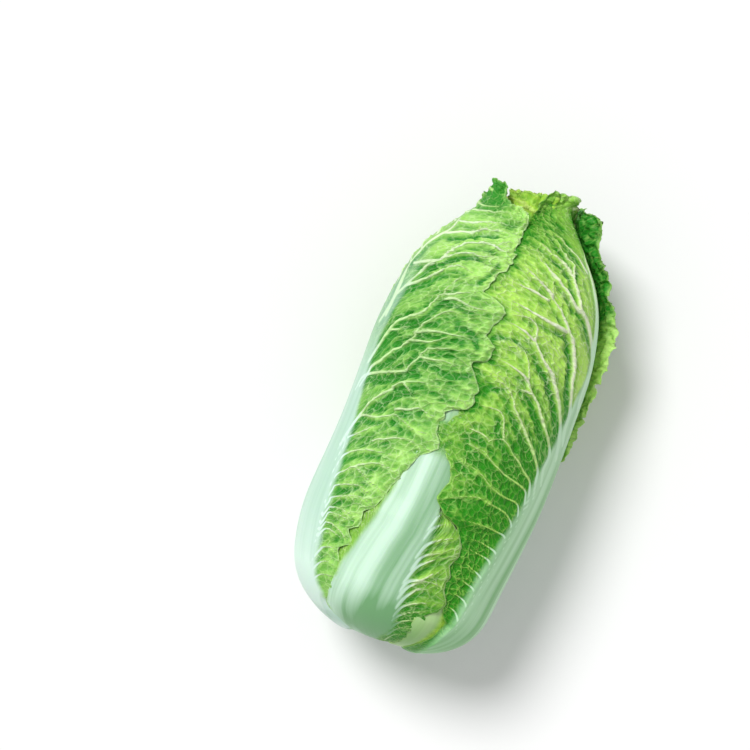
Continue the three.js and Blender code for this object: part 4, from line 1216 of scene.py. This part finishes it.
REAR_LEFT_LEAF = {
    "node": "rear_left_leaf", "seed": 31.0, "grid": (170, 14, 14, 16),
    "rib": [(0, -130), (240, -131)],
    "rib_width": [(7, 6.6), (15, 15), (25, 20), (60, 22), (100, 18), (150, 10), (240, 3)],
    "rib_thick": [(8, 4.5), (60, 4.5), (100, 3.8), (130, 2), (160, 1), (240, 0.3)],
    "left": [(10, -160), (60, -160), (100, -160), (150, -166), (240, -160)],
    "right": [(10, -104), (70, -106), (100, -106), (150, -98), (240, -98)],
    "vein": 1.2,
    "depth": {
        "left": [(0, 3.4), (100, 3.4), (135, 8.2)], "rib": [(0, 2.6), (90, 2.6), (110, 3.8), (135, 8.2)],
        "right": [(0, 6.7), (115, 8.6)],
    },
    "tip": 240, "drop": (20, 20), "frill": (0, 0, 0),
    "green": 0.4, "foot_shade": 0.5,
}
UNDER_RIB = (0.66, 0.86, 0.7)
UNDER_RIB_SHADE = (0.34, 0.56, 0.36)
under_material = leaf_material(
    "under_leaf_skin", light=(0.26, 0.56, 0.08), deep=(0.03, 0.22, 0.012), vein=(0.48, 0.74, 0.34),
    rib=UNDER_RIB, rib_shade=UNDER_RIB_SHADE, seed=29.0,
)
grow("under_leaf_crinkled", UNDER_LEAF, under_material)
rear_material = leaf_material(
    "rear_left_leaf_skin", light=(0.34, 0.62, 0.12), deep=(0.05, 0.28, 0.014), vein=(0.5, 0.76, 0.38),
    rib=UNDER_RIB, rib_shade=UNDER_RIB_SHADE, seed=31.0,
)
grow("rear_left_leaf_crinkled", REAR_LEFT_LEAF, rear_material, None, {
    "Blister_Depth": 0.8, "Fold_Depth": 0.5,
})

# The inner leaves. Three tender leaves that wrap the heart. A pale bit of the first one's rib shows at
# the foot, and their yellow-green frilled tips stand up at the crown.
TENDER = {
    "vein": 0.8, "frill": (0, 0, 1),
    "rib_width": [(12, 8), (40, 12), (100, 10), (200, 6), (300, 2.5)],
    "rib_thick": [(12, 2.4), (100, 2), (300, 0.4)],
}
INNER_LEAVES = [
    {
        **TENDER, "node": "inner_leaf_1", "seed": 37.0, "grid": (240, 26, 8, 26), "inside_step": 1,
        "start": 0.5,
        "rib": [(0, 25), (300, 26)],
        "rib_width": [(12, 4), (20, 6.5), (40, 10), (100, 12), (200, 6), (300, 2.5)],
        "rib_thick": [(12, 3), (100, 2), (300, 0.4)],
        "left": [(12, 8), (40, 4), (80, -30), (275, -35), (290, -52), (303, -64)],
        "right": [(12, 50), (20, 52), (40, 54), (80, 74), (130, 95), (280, 95), (303, 80)],
        "depth": {
            "left": [(0, 3), (30, 4.8), (60, 9), (90, 15.4), (285, 15.4), (303, 10)],
            "rib": [
                (0, 1.8), (15, 2.2), (30, 2.8), (36, 4.8), (60, 6.4), (90, 10), (130, 12.6), (285, 12),
                (303, 6),
            ],
            "right": [(0, 2.2), (26, 3.2), (34, 5.0), (60, 6.8), (90, 11), (285, 12), (303, 8)],
        },
        "tip": 304, "drop": (3, 6), "flare": 4.0,
        "ruffle": {
            "left": 0, "right": 0, "top": 2.2, "length": 7.5, "zone": 13.0, "pleat": 1.2, "pillow": 0.8,
        },
        # painted shade inside the crown, below the light frilled tip
        "green": lambda form: 0.05
        + 0.9 * smoothstep(form["height"], 260, 280) * smoothstep(form["top"], 7, 16),
    },
    {
        **TENDER, "node": "inner_leaf_2", "seed": 41.0, "grid": (180, 24, 6, 24), "start": 14.0,
        "rib": [(0, 150), (300, 150)],
        "left": [(12, 130), (40, 110), (80, 85), (290, 85), (307, 92)],
        "right": [(12, 168), (40, 190), (80, 212), (290, 212), (307, 200)],
        "depth": {
            "left": [(285, 15), (301, 9)], "rib": [(285, 12), (301, 7)], "right": [(285, 11.8), (301, 7.4)],
        },
        "tip": 303, "drop": (10, 10), "flare": 4.0, "green": 0.35,
        "ruffle": {"left": 0, "right": 0, "top": 2.8, "length": 9.0, "zone": 14.0},
    },
    {
        **TENDER, "node": "inner_leaf_3", "seed": 43.0, "grid": (240, 28, 6, 28), "inside_step": 1,
        "start": 14.0,
        "rib": [(0, -95), (300, -95)],
        "left": [(12, -116), (40, -140), (80, -156), (290, -156), (304, -145)],
        "right": [(12, -76), (40, -52), (80, -27), (290, -27), (304, -38)],
        "depth": {
            "left": [(285, 15.6), (303, 11)], "rib": [(285, 12), (296, 6), (304, 1)],
            "right": [(285, 12), (303, 8)],
        },
        "tip": 297, "drop": (6, 5), "flare": 2.0,
        "ruffle": {"left": 0, "right": 0, "top": 2.4, "length": 9.0, "zone": 12.0},
        "green": lambda form: 0.3 + 0.45 * smoothstep(form["height"], 280, 300),
    },
]
inner_material = leaf_material(
    "inner_leaf_skin", light=(0.5, 0.83, 0.08), deep=(0.05, 0.36, 0.02), vein=(0.66, 0.9, 0.22),
    rib=(0.54, 0.78, 0.36), rib_shade=(0.26, 0.5, 0.16), blister=(6.0, 5.0), seed=37.0,
)
for number, leaf in enumerate(INNER_LEAVES, 1):
    grow(f"inner_leaf_{number}_crinkled", leaf, inner_material, None, {
        "Fold_Depth": 0.3, "Tooth_Depth": 0.3, "Curl_Depth": 0.9,
        "Blister_Length": 6.0, "Blister_Width": 5.0, "Blister_Depth": 0.6,
    })

# The heart. Many young leaves packed into one dense core, yellow-green where the light reaches them,
# with their ruffled tips standing out of the crown in a spiral.
CORE_DEPTH = 19.5  # under the outline
CORE_SIDES = 64
HEART_TOP = 279.0
HEART_SEED = 47.0
TIPS = 8
TIP_TURN = 137.5
TIP_SEED = 7.0
TIP_ROWS, TIP_COLUMNS = 44, 72
TIP_SPREAD = 70.0
TIP_ROOT, TIP_TOP = 262.0, 304.0
TIP_BLADE = 1.0
TIP_FLARE = 13.0
TIP_RUFFLE = 2.6
NO_RIB = 30.0  # a distance from the rib at which nothing of its colour is left
NO_EDGE = 40.0
# what the heart's leaves have nothing of
BLANK = ("foot_shade", "whiteness", "rib_tone_and_shade", "valley_and_shade", "ridge")


def heart_core():
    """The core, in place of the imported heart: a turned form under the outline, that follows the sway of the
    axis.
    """
    profile = [(0.0, 29.0), (26.0, 29.0), (44.0, 37.0)]
    for height in (58, 90, 200, 232, 255):
        r, h, dr, dh = outline_at(station_at(height))
        profile.append((r - dh * CORE_DEPTH, h + dr * CORE_DEPTH))
    profile += [(16.0, HEART_TOP - 3), (0.0, HEART_TOP)]
    points, faces = lathe(profile, CORE_SIDES)
    points[:, 0] += sway(points[:, 1])
    return points, faces


def heart_tip(k):
    """One tip: a ruffled sheet wrapped part of the way round the axis. The outer tips fold outwards more."""
    outer = k / (TIPS - 1)
    top = TIP_TOP - 7 * outer
    up = np.linspace(0, 1, TIP_ROWS + 1)[:, None] ** 0.7
    across = np.linspace(-1, 1, TIP_COLUMNS)[None, :]
    height = TIP_ROOT + (top - 6 * across**2 - TIP_ROOT) * up
    ruffle = TIP_RUFFLE * (np.sin(across * 9 + 2 * k) + 0.5 * np.sin(across * 19 + 5 * k)) * up**4
    height = height + up**3 * (1.0 * np.sin(across * 12 + 3 * k) + 0.4 * np.sin(across * 21 + k))
    flare = TIP_FLARE * (0.25 + 0.75 * outer) * smoothstep(height, TIP_TOP - 20, TIP_TOP) ** 1.5
    radius = 2.6 + 6.4 * outer + ruffle * (0.3 + 0.7 * outer) + flare
    turn = np.radians(TIP_TURN * k + TIP_SEED + across * TIP_SPREAD * (1 - 0.25 * up**3))
    level = 0 * height
    fields = {
        "flow": np.stack([across * 30 + 40 * k + level, up * 47 + level, level], axis=-1),
        "vein_distance": np.abs(np.sin(across * 7 + k)) * 6 + 0.6 + level, "rib_distance": NO_RIB + level,
        "green": 0.15 + 0.35 * up**3 + level, "edge_line": (1 - up) * NO_EDGE + level,
        "edge": smoothstep(up, 0.6, 1) + level, "blade": smoothstep(up, 0.3, 0.7) + level,
        "push": np.stack([level, smoothstep(up, 0.8, 1) + level, level], axis=-1),
        "lift": np.stack([np.sin(turn), level, np.cos(turn)], axis=-1), **{name: level for name in BLANK},
    }
    fields = {name: np.concatenate([v.reshape(-1, *v.shape[2:])] * 2) for name, v in fields.items()}
    sheets = [turned_out(r, height, turn).reshape(-1, 3) for r in (radius + TIP_BLADE, radius)]
    return np.concatenate(sheets), fields


points, faces = heart_core()
count = len(points)
everywhere = {
    "flow": points, "vein_distance": np.full(count, 6.0), "rib_distance": np.full(count, NO_RIB),
    "green": np.full(count, 0.2), "edge_line": np.full(count, NO_EDGE),
    "push": np.zeros((count, 3)), "lift": np.zeros((count, 3)),
    **{name: np.zeros(count) for name in ("edge", "blade", *BLANK)},
}
tip_faces = grid_shell(TIP_ROWS, TIP_COLUMNS)
for k in range(TIPS):
    tip_points, tip_fields = heart_tip(k)
    faces += [tuple(corner + len(points) for corner in face) for face in tip_faces]
    points = np.concatenate([points, tip_points])
    everywhere = {name: np.concatenate([values, tip_fields[name]]) for name, values in everywhere.items()}
heart_material = leaf_material(
    "heart_leaf_skin", light=(0.72, 0.86, 0.12), deep=(0.26, 0.58, 0.04), vein=(0.74, 0.9, 0.34),
    rib=(0.6, 0.74, 0.4), rib_shade=(0.4, 0.6, 0.2), blister=(5.0, 4.0), seed=HEART_SEED,
)
heart = mesh_object("heart_leaves", points, faces, everywhere)
baked(
    heart, CRINKLE, Material=heart_material, Seed=HEART_SEED,
    Tooth_Depth=0.4, Curl_Depth=1.0, Groove_Depth=0.0,
)
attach(heart, "root")
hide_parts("heart")

# The table. A plain pale floor under the head.
bpy.ops.mesh.primitive_plane_add(size=6, location=(0, 0, -0.0005))
floor = bpy.context.object
floor.name = "pale_floor"
floor_material = bpy.data.materials.new("pale_floor")
floor_material.use_nodes = True
floor_shader = floor_material.node_tree.nodes["Principled BSDF"]
floor_shader.inputs["Base Color"].default_value = (0.93, 0.93, 0.93, 1)
floor_shader.inputs["Roughness"].default_value = 0.9
floor.data.materials.append(floor_material)

# The light. A bright even room, and one large soft lamp from the upper left of the picture.
world = bpy.data.worlds.new("room")
bpy.context.scene.world = world
world.use_nodes = True
background = world.node_tree.nodes["Background"]
background.inputs["Color"].default_value = (1.0, 1.0, 1.0, 1)
background.inputs["Strength"].default_value = 0.5
lamp = bpy.data.objects.new("lamp", bpy.data.lights.new("lamp", "SUN"))
lamp.data.energy = 2.35
lamp.data.angle = math.radians(22)
lamp.rotation_euler = (math.radians(-20), math.radians(-31), 0)
bpy.context.scene.collection.objects.link(lamp)

# The camera. It looks straight down, turned so that the head leans to the right in the picture.
PICTURE_TURN = math.radians(19.4)
PICTURE_WIDTH = 0.4725
CENTRE_X, CENTRE_Y = -63.9, 162.5
MIDDLE = 0.066  # the height that the picture's width is measured at
camera = bpy.data.objects.new("camera", bpy.data.cameras.new("camera"))
camera.data.lens = 100
camera.data.sensor_width = 36
distance = PICTURE_WIDTH * camera.data.lens / camera.data.sensor_width
camera.location = (CENTRE_X * MM + HEAD_ORIGIN[0], CENTRE_Y * MM + HEAD_ORIGIN[1], MIDDLE + distance)
camera.rotation_euler = (0, 0, PICTURE_TURN)
bpy.context.scene.collection.objects.link(camera)
bpy.context.scene.camera = camera
bpy.context.scene.view_settings.view_transform = "Standard"
